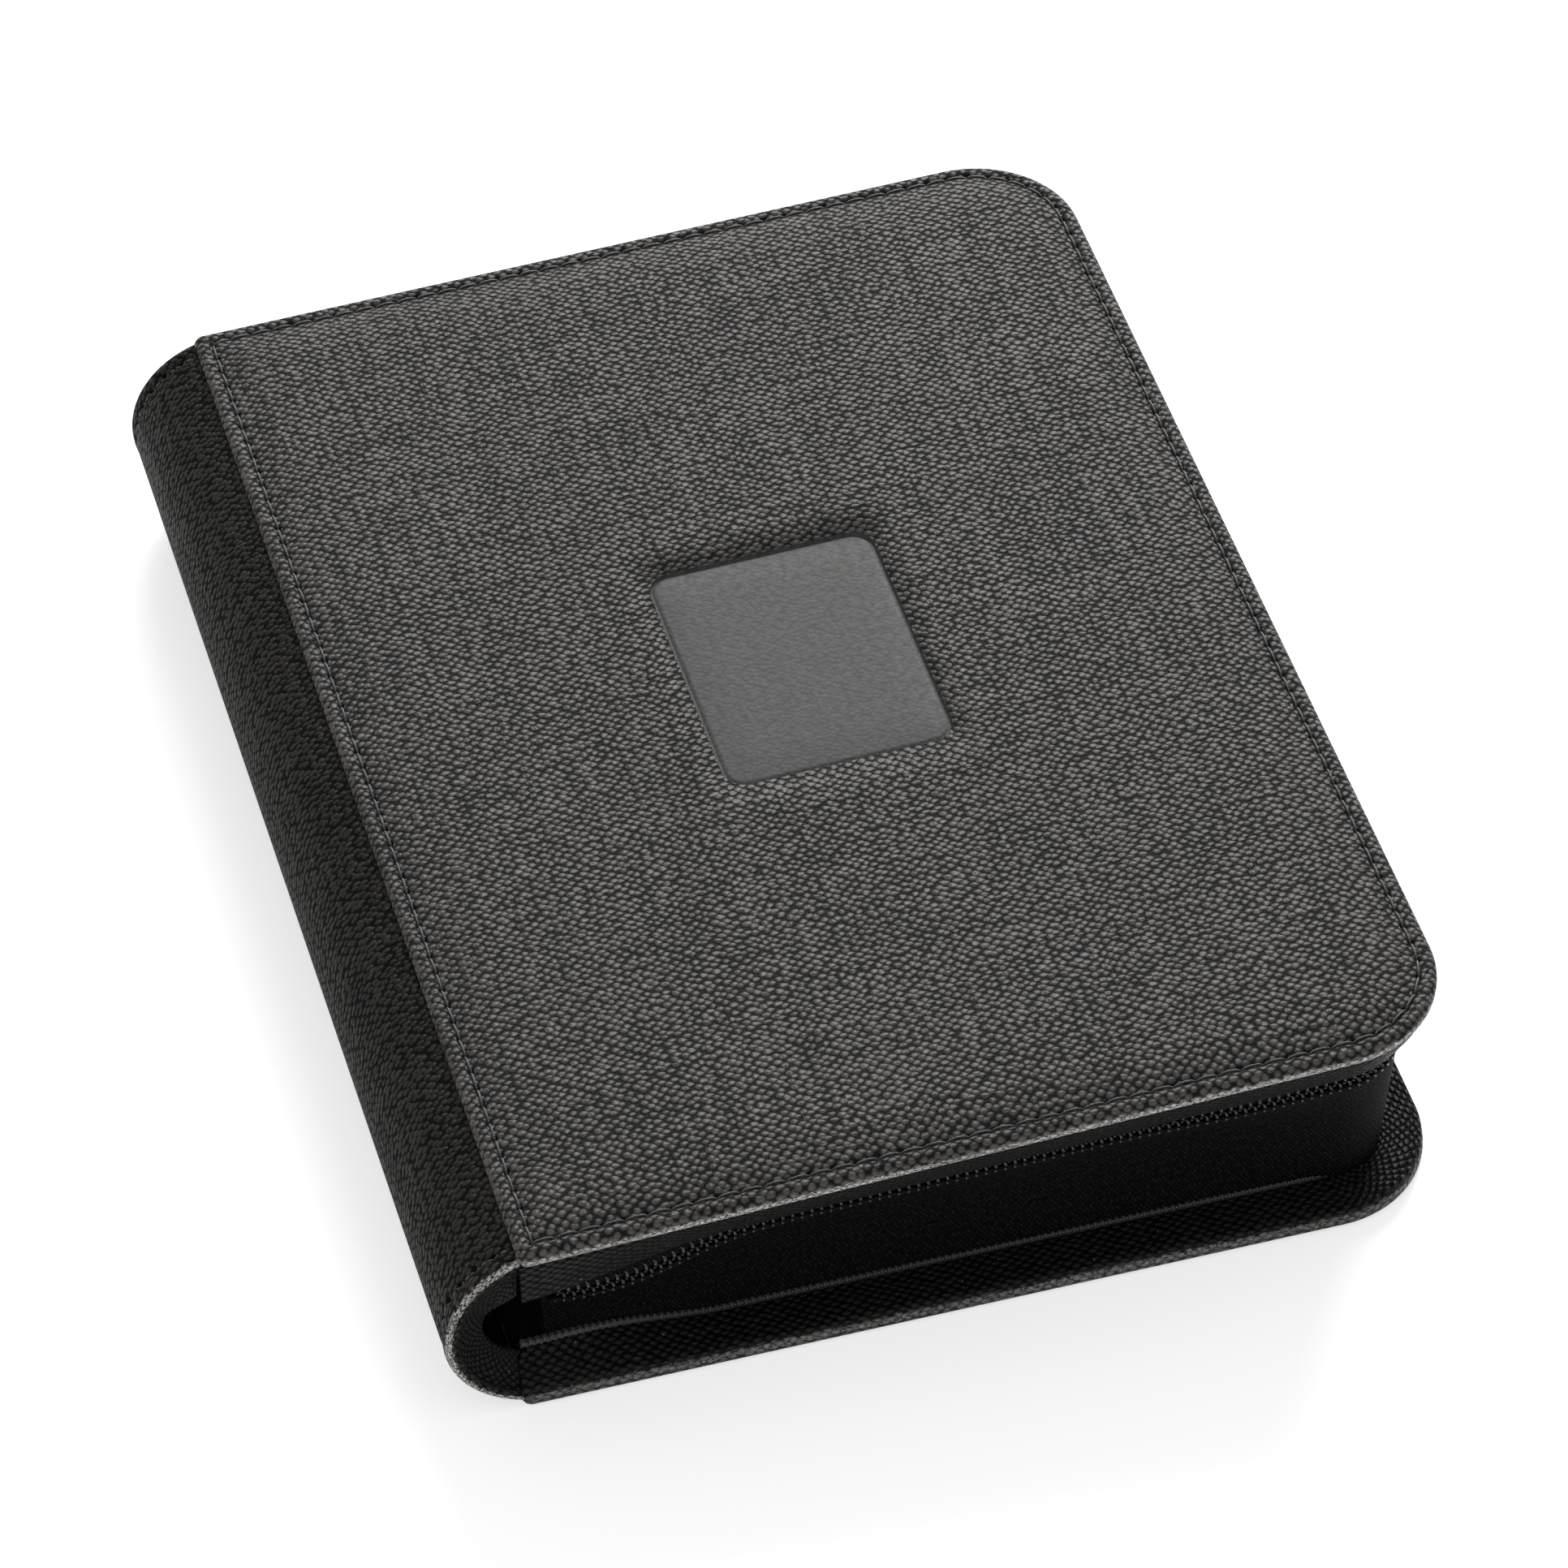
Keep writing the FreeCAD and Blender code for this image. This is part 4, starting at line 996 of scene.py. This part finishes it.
def ribbed_bead(path, radius, ribs_apart, sides=8):
    """A tube with slanting ribs, like overcast thread round an edge."""
    run, total = travelled(path)
    fine = np.arange(0, total, ribs_apart / 6)
    smooth_path = np.stack([np.interp(fine, run, path[:, k]) for k in range(3)], 1)
    points, bead_faces, bead_flat = tube(smooth_path, radius, sides)
    around = np.tile(np.arange(sides) / sides, len(fine))
    phase = np.repeat(fine, sides) / ribs_apart - around
    ring_middle = np.repeat(smooth_path, sides, axis=0)
    swell = 0.72 + 0.40 * np.abs(np.cos(np.pi * phase))
    return ring_middle + (points - ring_middle) * swell[:, None], bead_faces, bead_flat


bead_start = -HALF_W + 1.0
bead_insets, bead_levels = back_hem_point(*BEAD_AT, track_round(0.0, bead_start, bead_start))
bead_path = np.column_stack([on_track(bead_insets, bead_start, bead_start), bead_levels])
points, faces, flat = ribbed_bead(bead_path, BEAD_RADIUS, RIB_PITCH)
finish_piece(make_piece("back_hem_overcast", points, faces, [HEM_THREAD], flat), "back_cover", "thread")

# %% [markdown]
# ## Spine
# The spine is leatherette over a thin bent stiffener. At each end the sheet turns over the rim and
# stands inwards as a flange, because the zipper pulls on it. So the sheet is a grid: one way it
# goes round the arc, the other way it starts behind the near flange, goes round its free edge and
# over the near rim, runs the length of the spine and ends behind the far flange.

# %% Spine sheet
EDGE_X, FLANGE_X = -HALF_W + 0.2, -HALF_W - 0.12
ARC_COLUMNS = 150
SPINE_FACE, STITCH_VALLEY, RIM_TOP = 16.95, 16.80, 16.3
# place along the spine measured in from its end, and radius, from the back of the flange
SPINE_TURN = [
    (3.6, 14.2), (4.3, 11.5), (4.6, 9.1), (4.45, 8.65), (4.0, 8.5), (3.6, 8.8), (2.9, 10.6),
    (1.8, 12.6), (0.7, 14.1), (0.1, 14.8), (-0.15, 15.4), (-0.24, 15.9), (-0.22, RIM_TOP),
    (-0.08, 16.65), (0.2, 16.88), (0.6, 17.02), (1.1, 17.06), (1.7, 17.0), (2.2, 16.9),
    (2.6, 16.83), (3.0, STITCH_VALLEY), (3.4, 16.83), (3.9, 16.9), (4.8, 16.95),
    (7.0, SPINE_FACE), (10.0, SPINE_FACE)]
RIM_ROW = 11
# the sheet's long edges turn in beside the seams: so far round, and so far in towards the axis
SEAM_TURN = [(0.05, 0.2), (0.06, 0.45), (0.06, 0.7)]
SEAM_RUN = np.array([0.3, 0.8, 1.3])
FLANGE_ROWS = 9
FLANGE_FOOT, FLANGE_EDGE = 14.8, 8.5


def flange_shape(radius, angles):
    """How much further out the flange's points lie, and how much nearer the spine's end."""
    share = min(max((FLANGE_FOOT - radius) / (FLANGE_FOOT - FLANGE_EDGE), 0.0), 1.0)
    outwards = 2.0 * share * np.clip(-np.cos(angles), 0.0, 1.0) ** 4
    towards_end = share * (1.5 + 1.3 * smooth_step(np.sin(angles), 0.2, 0.75))
    return outwards, towards_end


def arc_at(radius):
    """Angles of the columns at a radius; the sheet ends upright beside the seam."""
    edge = EDGE_X if radius > 15.0 else FLANGE_X
    end = math.acos((edge - SPINE_X) / radius)
    return np.linspace(end, 2 * math.pi - end, ARC_COLUMNS)


arc_angles = arc_at(SPINE_FACE)
arc_run = (arc_angles - arc_angles[0]) * SPINE_FACE
spine_stitches = round(arc_run[-1] / STITCH_PITCH)
spine_pitch = arc_run[-1] / spine_stitches
spine_holes = np.abs((arc_run / spine_pitch + 0.5) % 1 - 0.5) * spine_pitch


def spine_sheet():
    """Points, faces and both maps of the sheet, and which faces belong to the flanges."""
    turn = [(-SPINE_END + into, radius, into) for into, radius in SPINE_TURN]
    field = [(y, SPINE_FACE, FAR_FROM_EDGE) for y in np.linspace(-SPINE_END + 18, SPINE_END - 18, 24)]
    profile = turn + field + [(-y, radius, into) for y, radius, into in reversed(turn)]
    steps = [math.hypot(b[0] - a[0], b[1] - a[1]) for a, b in zip(profile, profile[1:])]
    runs = np.concatenate([[0], np.cumsum(steps)])
    rim = runs[RIM_ROW]
    on_stitches = runs[[radius for _, radius in SPINE_TURN].index(STITCH_VALLEY)] - rim
    rows, flats, edges = [], [], []
    for (y, radius, into), run in zip(profile, runs):
        angles, radii = arc_at(radius), np.full(ARC_COLUMNS, radius)
        drop = 0.0
        if radius > RIM_TOP:
            drop = 1.0
            pull_in = 0.75 * math.exp(-((into - SPINE_STITCH_IN) / 0.40) ** 2)
            radii = radii - pull_in * np.exp(-(spine_holes / 0.5) ** 2)
        for step, fall in SEAM_TURN:
            angles = np.concatenate([[angles[0] - step / radius], angles, [angles[-1] + step / radius]])
            radii = np.concatenate([[radius - fall * drop], radii, [radius - fall * drop]])
        outwards, towards_end = flange_shape(radius, angles)
        radii = radii + outwards
        along_spine = y + math.copysign(1.0, y) * towards_end
        rows.append(np.column_stack([SPINE_X + radii * np.cos(angles), along_spine,
                                     SPINE_Z + radii * np.sin(angles)]))
        along = np.concatenate([-SEAM_RUN[::-1], arc_run, arc_run[-1] + SEAM_RUN])
        flats.append(np.stack([along, np.full(len(along), run)], 1))
        from_rim = min(run - rim, runs[-1] - rim - run)
        edges.append(np.stack([along * STITCH_PITCH / spine_pitch,
                               np.full(len(along), from_rim - on_stitches + SPINE_STITCH_IN)], 1))
    columns = len(rows[0])
    faces = grid_faces(len(rows), columns, flip=True)
    bands = len(rows) - 1
    kinds = [1 if row < FLANGE_ROWS or row >= bands - FLANGE_ROWS else 0
             for row in range(bands) for _ in range(columns - 1)]
    return np.vstack(rows), faces, np.vstack(flats), np.vstack(edges), kinds


points, faces, flat, edge, kinds = spine_sheet()
spine_piece = make_piece("spine_cover_sheet", points, faces, [SPINE_SKIN_IN_SHADE, HEM_SKIN_IN_SHADE], flat, edge, kinds,
                         closed=False)
finish_piece(spine_piece, "spine", "spine_leatherette", "spine_skin", "near_spine_hem", "far_spine_hem")

# %% Spine stitches
THREAD_SEAT = 16.6
spine_shapes = []
for end in (-1, 1):
    y = end * (SPINE_END - SPINE_STITCH_IN)
    for index in range(spine_stitches):
        ends = [arc_angles[0] + (index + k) * spine_pitch / SPINE_FACE for k in (0, 1)]
        spots = [np.array([SPINE_X + THREAD_SEAT * math.cos(a), y, SPINE_Z + THREAD_SEAT * math.sin(a)])
                 for a in ends]
        middle = sum(ends) / 2
        straight_out = np.array([math.cos(middle), 0.0, math.sin(middle)])
        spine_shapes.append(stitch_shape(spots[0], spots[1], straight_out))
points, faces, flat = join_shapes(spine_shapes)
finish_piece(make_piece("spine_stitches", points, faces, [THREAD], flat), "spine", "thread")

# %% [markdown]
# ## Seams that bend
# Where the spine meets a cover, the lining runs across the seam and bends as the cover opens.
# Turned round the joint at a fixed distance, a wide sheet would swing through the pages; a narrow
# strip close to the axis doesn't, so each hinge cloth is such a strip, made at rest.

# %% Hinge cloths
SEAM_POINTS = 60


def hinge_cloth(name, rows, blend_from, blend_to):
    """A narrow strip of lining cloth in a seam, made at rest."""
    length = np.linspace(-SPINE_END + 1.5, SPINE_END - 1.5, SEAM_POINTS)
    sheets = [np.column_stack([np.full(SEAM_POINTS, x), length, np.full(SEAM_POINTS, z)]) for x, z in rows]
    points, faces, flat = strip(sheets, closed=True)
    piece = make_piece(name, points, faces, [LINING_CLOTH], flat)
    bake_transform(piece)
    print("%-22s %7d faces, bends from %s to %s" % (name, len(faces), blend_from, blend_to))


CLOTH_THICK = 0.1
cloth_out = [(-76.0, 32.90), (-75.6, 33.20), (-75.45, 33.32), (-75.35, 33.36), (-75.28, 33.38),
             (-75.2, 33.38), (-74.8, 33.38)]
cloth_rows = cloth_out + [(x, z - CLOTH_THICK) for x, z in reversed(cloth_out)]
hinge_cloth("front_hinge_cloth", cloth_rows, "spine", "front_cover")
lower_rows = [(x, SPINE_HEIGHT - z) for x, z in cloth_rows]
hinge_cloth("back_hinge_cloth", lower_rows[::-1], "back_cover", "spine")

# %% [markdown]
# ## Zipper
# A coil zipper is two nylon wires wound into flat coils, sewn along the edges of two woven tapes.
# Closed, each coil's loops sit in the gaps of the other. The tape of the front cover hangs behind
# its hem; the other falls from the chain to the back cover and sags inwards. Near the spine on
# the near side the chain has nothing to hold it straight, so it dips and swells outwards.

# %% Line of the chain
def coil_ends(node):
    """Where a coil starts on the near side and ends on the far side."""
    found = np.array([v.co for v in frame["nodes"][node].data.vertices]) / MM
    near, far = found[found[:, 1] < 0], found[found[:, 1] > 0]
    return near[:, 0].min(), far[:, 0].min()


front_start, front_stop = coil_ends("front_zipper_coil")
back_start, back_stop = coil_ends("back_zipper_coil")


# the chain on the near side: distance from the seam, drop from the lid's level, and inset
CHAIN_KNOTS = [
    (0, -12.9, 5.6), (5, -14.6, 4.4), (9.5, -15.3, 4.1), (17, -15.3, 4.2), (23, -14.3, 4.6),
    (29, -12.9, 5.2), (36, -11.9, 5.8), (44, -11.6, 6.0), (60, -11.7, 6.0), (100, -12.2, 6.0),
    (118, -12.9, 5.6), (130, -12.6, 5.8), (151, -12.8, 6.0)]
SMOOTHED_OVER = 25


def smoothed(values):
    """A weighted running mean, as long as what it is given."""
    kernel = np.hanning(SMOOTHED_OVER)
    kernel /= kernel.sum()
    return np.convolve(np.pad(values, SMOOTHED_OVER // 2, mode="edge"), kernel, mode="valid")


def chain_line(track):
    """Inset and level of the chain at each point of a track: straight but for the dip."""
    from_seam = track[:, 0] + HALF_W
    on_near = smooth_step(-track[:, 1], 0, HALF_L * 0.5)
    knots_x, knots_z, knots_i = zip(*CHAIN_KNOTS)
    drop = smoothed(np.interp(from_seam, knots_x, knots_z))
    inset = smoothed(np.interp(from_seam, knots_x, knots_i))
    level_at = CHAIN_Z + on_near * (SPINE_HEIGHT + drop - CHAIN_Z)
    return TAPE_INSET + on_near * (inset - TAPE_INSET), level_at


def chain_path(near_start, far_end, rise):
    """The chain's line in space, raised by so much."""
    inset, level_at = chain_line(track_round(TAPE_INSET, near_start, far_end))
    return np.column_stack([on_track(inset, near_start, far_end), level_at + rise])


# %% Coils
COIL_PITCH, WIRE = 1.54, 0.27
COIL_HEIGHT, COIL_DEPTH, COIL_RISE = 2.3, 1.5, 0.85
LOOP_LEAN = 0.32


def coil(near_start, far_end, side_sign, phase):
    """A wire wound along the chain: a flat helix with its long axis up and down."""
    line = chain_path(near_start, far_end, rise=side_sign * COIL_RISE)
    run, total = travelled(line)
    steps = np.arange(0, total, COIL_PITCH / 9)
    middle = np.stack([np.interp(steps, run, line[:, k]) for k in range(3)], 1)
    tangent = np.gradient(middle, axis=0)
    tangent /= np.linalg.norm(tangent, axis=1)[:, None]
    outward = np.cross(tangent, [0.0, 0.0, 1.0])
    outward /= np.linalg.norm(outward, axis=1)[:, None]
    turns = 2 * math.pi * (steps / COIL_PITCH + phase)
    up_down = np.cos(turns)[:, None] * np.array([0.0, 0.0, COIL_HEIGHT / 2 - WIRE])
    in_out = np.sin(turns)[:, None] * outward * (COIL_DEPTH / 2 - WIRE)
    lean_over = tangent * (np.cos(turns)[:, None] * LOOP_LEAN)
    return tube(middle + up_down + in_out + lean_over, WIRE, 5)


points, faces, flat = coil(front_start, front_stop, 1, 0.0)
finish_piece(make_piece("front_coil", points, faces, [NYLON], flat, tilted=True),
             "front_cover", "zipper_coil", "front_zipper_coil")
points, faces, flat = coil(back_start, back_stop, -1, 0.5)
finish_piece(make_piece("back_coil", points, faces, [NYLON], flat, tilted=True),
             "back_cover", "zipper_coil", "back_zipper_coil")

# %% Upper tape
TAPE_THICK = 0.5
TAPE_BOW, SEWN_INSET = 1.4, 3.0
tape_start, tape_stop = span("front_zipper_tape")[0][0] + 0.2, front_stop - 0.5


def upper_tape():
    """From the front hem down to the chain, bowed inwards."""
    rows = []
    base = track_round(TAPE_INSET, tape_start, tape_stop)
    chain_inset, chain_level = chain_line(base)
    shares = [0.0, 0.1, 0.25, 0.4, 0.6, 0.8, 1.0]
    for face, order in ((0.0, shares), (TAPE_THICK, shares[::-1])):
        for share in order:
            bow = TAPE_BOW * math.sin(math.pi * share)
            inset = SEWN_INSET + (chain_inset - SEWN_INSET) * share + bow + face - TAPE_THICK / 2
            level_at = front_under - 0.1 + (chain_level + COIL_RISE - front_under + 0.1) * share
            rows.append(np.column_stack([on_track(inset, tape_start, tape_stop), level_at]))
    return strip(rows, closed=True)


points, faces, flat = upper_tape()
finish_piece(make_piece("front_tape", points, faces, [TAPE_CLOTH_IN_SHADE], flat, tilted=True),
             "front_cover", "zipper_tape", "front_zipper_tape")

# %% [markdown]
# ### The lower tape
# Cloth that is held along its top and bottom edges hangs in a curve when there is more of it than
# the distance needs. The curve here is a half sine, deepest a little above the middle. The tape is
# slack along the near and far sides, tight along the fore edge and at the corners, and a slow wave
# keeps it from looking ruled.

# %% Lower tape
SAG, FORE_SAG = 4.2, 0.5
CORNER_INSET = 7.1


def lower_tape():
    """From the chain down to the back hem, sagging inwards. Its top leans with the chain."""
    near_start, far_end = back_start - 1.0, back_stop - 0.5
    base = track_round(TAPE_INSET, near_start, far_end)
    chain_inset, chain_level = chain_line(base)
    top = lean(np.column_stack([on_track(chain_inset, near_start, far_end), chain_level - COIL_RISE]))
    far_part = smooth_step(base[:, 1], 0, HALF_L * 0.5)
    straight = 1.0 + 3.0 * far_part
    bottom_inset, bottom_level = back_hem_point(8.0, 4.0, base)
    on_fore = smooth_step(base[:, 0], HALF_W - 24, HALF_W - 8)
    corner_gap = np.minimum(np.abs(base[:, 0] - (HALF_W - CORNER)),
                            np.abs(np.abs(base[:, 1]) - (HALF_L - CORNER)))
    in_corner = (base[:, 0] > HALF_W - CORNER) & (np.abs(base[:, 1]) > HALF_L - CORNER)
    straightness = np.where(in_corner, 0.0, smooth_step(corner_gap, 0, 22))
    bottom_inset = bottom_inset + (CORNER_INSET - bottom_inset) * (1 - straightness) * on_fore
    slack = (SAG * (1 - on_fore) + FORE_SAG * on_fore) * smooth_step(HALF_W - 8 - base[:, 0], 0, 30)
    run, _ = travelled(base)
    waves = 0.5 * np.sin(run / 19.0) + 0.35 * np.sin(run / 7.3 + 1.0)
    rows = []
    shares = [0.0, 0.06, 0.14, 0.24, 0.36, 0.48, 0.6, 0.72, 0.84, 0.93, 1.0]
    for face, order in ((0.0, shares), (TAPE_THICK, shares[::-1])):
        for share in order:
            below = np.maximum((top[:, 2] - bottom_level) * share - straight, 0.0)
            depth = below / np.maximum(top[:, 2] - bottom_level - straight, 0.1)
            hang = slack * (1 + 0.15 * waves) * np.sin(math.pi * depth ** 0.8)
            inset = chain_inset + (bottom_inset - chain_inset) * depth + hang + face - TAPE_THICK / 2
            level_at = top[:, 2] + (bottom_level - top[:, 2]) * share
            xy = on_track(inset, near_start, far_end)
            xy = xy + (top[:, :2] - on_track(chain_inset, near_start, far_end)) * (1 - share)
            rows.append(np.column_stack([xy, level_at]))
    return strip(rows, closed=True)


points, faces, flat = lower_tape()
finish_piece(make_piece("back_tape", points, faces, [TAPE_CLOTH_IN_SHADE], flat), "back_cover", "zipper_tape",
             "back_zipper_tape")


# %% [markdown]
# ## Slider and pull
# The slider is cast zinc: two shield-shaped plates joined by a post, with a bridge that holds the
# pull. Castings have no sharp edges, so the plates are extruded with rounded rims. The pull is a
# wire ring with a tab of folded leatherette.

# %% Plates with rounded rims
def rounded_plate(shape, low, high, rim):
    """Extrude a flat convex outline along y, with its rims rounded off."""
    shape = np.asarray(shape, float)
    middle = shape.mean(axis=0)
    steps = [(low, 1.0), (low + rim * 0.3, 0.45), (low + rim, 0.0),
             (high - rim, 0.0), (high - rim * 0.3, 0.45), (high, 1.0)]
    rows = []
    for y, pull_in in steps:
        away = shape - middle
        away = away * (1 - pull_in * rim / np.linalg.norm(away, axis=1))[:, None]
        rows.append(np.column_stack([middle[0] + away[:, 0], np.full(len(shape), y),
                                     middle[1] + away[:, 1]]))
    count = len(shape)
    faces = grid_faces(len(rows), count, closed=True)
    faces.append(tuple(range(count))[::-1])
    faces.append(tuple(range(count * (len(rows) - 1), count * len(rows))))
    points = np.vstack(rows)
    return points, faces, points[:, [0, 2]]


def smooth_outline(corners, radius, steps=6):
    """Round off the corners of a polygon given counter-clockwise."""
    corners = np.asarray(corners, float)
    result = []
    for index, corner in enumerate(corners):
        before = corners[index - 1] - corner
        after = corners[(index + 1) % len(corners)] - corner
        before, after = before / np.linalg.norm(before), after / np.linalg.norm(after)
        start, stop = corner + before * radius, corner + after * radius
        for k in range(steps + 1):
            t = k / steps
            result.append((1 - t) ** 2 * start + 2 * t * (1 - t) * corner + t * t * stop)
    return np.array(result)


# %% Slider
body_low, body_high = [level(corner) for corner in span("slider_body")]
slide_x = (body_low[0] + body_high[0]) / 2
LENGTH, WIDTH, PLATE = 10.0, 7.2, 0.9
y_in, y_out = span("slider_body")[0][1], span("slider_body")[1][1]
# a corner's place along the slider and across it, as shares of its length and width
shield = [(-0.5, -0.36), (0.15, -0.5), (0.5, -0.44), (0.5, 0.44), (0.15, 0.5), (-0.5, 0.36)]
shield = [(slide_x + LENGTH * along, CHAIN_Z + WIDTH * across) for along, across in shield]
shield = smooth_outline(shield, 1.1)
parts = [rounded_plate(shield, y_in, y_in + PLATE, 0.3), rounded_plate(shield, y_out - PLATE, y_out, 0.3)]
for sign in (-1, 1):
    lip = [(-0.42, 0.42), (0.42, 0.42), (0.42, 0.49), (-0.42, 0.49)]
    lip = [(slide_x + LENGTH * along, CHAIN_Z + sign * WIDTH * across) for along, across in lip]
    lip = lip if sign > 0 else lip[::-1]
    parts.append(rounded_plate(lip, y_in + 0.4, y_in + 1.4, 0.12))
    parts.append(rounded_plate(lip, y_out - 1.4, y_out - 0.4, 0.12))
post = [(slide_x + 2.2, CHAIN_Z - 0.7), (slide_x + 4.6, CHAIN_Z), (slide_x + 2.2, CHAIN_Z + 0.7)]
post = smooth_outline(post, 0.25)
parts.append(rounded_plate(post, y_in + 0.3, y_out - 0.3, 0.05))
points, faces, flat = join_shapes(parts)
finish_piece(make_piece("slider_casting", points, faces, [LACQUER], flat, tilted=True, smooth=False),
             "slider", "slider_metal", "slider_body")

# %% Arch on the slider
bridge_low, bridge_high = span("slider_bridge")
bridge_from = level((bridge_low[0], 0, bridge_low[2]))[0]
bridge_to = level((bridge_high[0], 0, bridge_high[2]))[0]
arch = [(bridge_from + 0.5, y_out - 0.3), (bridge_from + 0.5, y_out + 0.9),
        (bridge_from + 1.0, bridge_high[1] - 0.6), (bridge_from + 1.9, bridge_high[1] - 0.4),
        (bridge_to - 1.9, bridge_high[1] - 0.4), (bridge_to - 1.0, bridge_high[1] - 0.6),
        (bridge_to - 0.5, y_out + 0.9), (bridge_to - 0.5, y_out - 0.3)]
arch = np.array(arch)
share = np.linspace(0, len(arch) - 1, 40)
arch = np.stack([np.interp(share, np.arange(len(arch)), arch[:, k]) for k in (0, 1)], 1)
arch_path = np.column_stack([arch[:, 0], arch[:, 1], np.full(len(arch), CHAIN_Z)])
points, faces, flat = tube(arch_path, 0.4, 12, squash=1.9)
finish_piece(make_piece("slider_arch", points, faces, [LACQUER], flat, tilted=True),
             "slider", "slider_metal", "slider_bridge")

# %% Ring of the pull
ring_low, ring_high = span("pull_ring")
ring_y = (ring_low[1] + ring_high[1]) / 2
ring_x0, ring_x1 = level(ring_low)[0] + 0.5, level(ring_high)[0] - 0.5
ring_half = 4.6 / 2 - 0.4
loop = [(ring_x0, CHAIN_Z - ring_half), (ring_x1, CHAIN_Z - ring_half),
        (ring_x1, CHAIN_Z + ring_half), (ring_x0, CHAIN_Z + ring_half)]
loop = smooth_outline(loop, 0.9, 8)
loop = np.vstack([loop, loop[:1]])
ring_path = np.column_stack([loop[:, 0], np.full(len(loop), ring_y), loop[:, 1]])


def round_ring(path, radius, sides=10):
    """A closed ring of round wire that lies in a plane across y."""
    tangent = np.roll(path[:-1], -1, axis=0) - np.roll(path[:-1], 1, axis=0)
    tangent /= np.linalg.norm(tangent, axis=1)[:, None]
    across = np.cross(tangent, [0.0, 1.0, 0.0])
    turns = np.arange(sides) * 2 * math.pi / sides
    ring = across[:, None] * np.cos(turns)[None, :, None]
    ring = ring + np.array([0, 1.0, 0]) * np.sin(turns)[None, :, None]
    points = (path[:-1, None] + ring * radius).reshape(-1, 3)
    rows = len(path) - 1
    faces = []
    for row in range(rows):
        for k in range(sides):
            this_row, next_row = row * sides, (row + 1) % rows * sides
            a, b = this_row + k, this_row + (k + 1) % sides
            c, d = next_row + (k + 1) % sides, next_row + k
            faces.append((a, b, c, d))
    return points, faces, points[:, [0, 2]]


points, faces, flat = round_ring(ring_path, 0.45)
finish_piece(make_piece("pull_wire_ring", points, faces, [LACQUER], flat, tilted=True),
             "pull", "slider_metal", "pull_ring")

# %% Leatherette tab
tab_low, tab_high = span("pull_tab")
tab_y, tab_thick = (tab_low[1] + tab_high[1]) / 2, 1.4
tab_end = level(tab_high)[0]
tab_x0 = tab_end - 18.0


def leather_tab():
    """A folded tab: flat faces, pressed rims, and a narrow neck round the ring."""
    corners = [(tab_x0, CHAIN_Z - 2.5), (tab_end, CHAIN_Z - 2.5), (tab_end, CHAIN_Z + 2.5),
               (tab_x0, CHAIN_Z + 2.5)]
    flat_tab = smooth_outline(corners, 1.3, 8)
    shapes = [rounded_plate(flat_tab, tab_y - tab_thick / 2, tab_y + tab_thick / 2, 0.45)]
    neck_path = [(tab_x0 + 1.0, tab_y), (tab_x0 - 0.6, tab_y + 0.55), (tab_x0 - 1.9, tab_y + 0.62),
                 (tab_x0 - 2.6, tab_y), (tab_x0 - 1.9, tab_y - 0.62), (tab_x0 - 0.6, tab_y - 0.55),
                 (tab_x0 + 1.0, tab_y)]
    neck = np.array([(x, y, CHAIN_Z) for x, y in neck_path])
    shapes.append(tube(neck, 0.3, 8, squash=4.0))
    return join_shapes(shapes)


points, faces, flat = leather_tab()
finish_piece(make_piece("pull_leather_tab", points, faces, [PULL_SKIN], flat, tilted=True, smooth=False),
             "pull", "pull_leatherette", "pull_tab")

# %% Tab stitches
tab_loop = [(tab_x0 + 0.8, CHAIN_Z - 1.75), (tab_end - 0.8, CHAIN_Z - 1.75),
            (tab_end - 0.8, CHAIN_Z + 1.75), (tab_x0 + 0.8, CHAIN_Z + 1.75)]
tab_loop = smooth_outline(tab_loop, 0.8, 4)
tab_loop = np.vstack([tab_loop, tab_loop[:1]])
tab_run, tab_total = travelled(tab_loop)
tab_marks = np.linspace(0, tab_total, 20)
tab_shapes = []
for sign in (-1, 1):
    spots = [np.array([np.interp(m, tab_run, tab_loop[:, 0]), tab_y + sign * (tab_thick / 2 - 0.05),
                       np.interp(m, tab_run, tab_loop[:, 1])]) for m in tab_marks]
    tab_shapes += [stitch_shape(a, b, np.array([0.0, float(sign), 0.0])) for a, b in zip(spots, spots[1:])]
points, faces, flat = join_shapes(tab_shapes)
finish_piece(make_piece("pull_stitches", points, faces, [THREAD], flat, tilted=True), "pull", "thread")

# %% [markdown]
# ## Parts that keep their engineered shape
# Boards, padding, linings, end stops, the binding strip and the pocket pages are right as they
# are. They only need finishes, with grain taken from their own place in millimetres.

# %% Finishes for the engineered parts
def dress(node, finish):
    """Give an engineered part one finish."""
    part = frame["nodes"][node]
    part.data.materials.clear()
    part.data.materials.append(finish)


PART_FINISHES = {
    "foam": FOAM, "board": BOARD, "lining": LINING_PART, "stiffener": BENT_SHEET, "page": PAGE_FILM,
    "binding": STRIP_PLASTIC, "end_stop": STOP_PLASTIC, "thread": THREAD_PART,
    "zipper_tape": TAPE_PART, "zipper_coil": NYLON, "slider_metal": LACQUER,
    "pull_leatherette": PULL_PART, "cover_leatherette": PULL_PART,
    "spine_leatherette": PULL_PART, "hem_leatherette": PULL_PART}
for node_name in frame["nodes"]:
    dress(node_name, PART_FINISHES[node_slot(node_name)])
print("dressed", len(frame["nodes"]), "engineered parts")
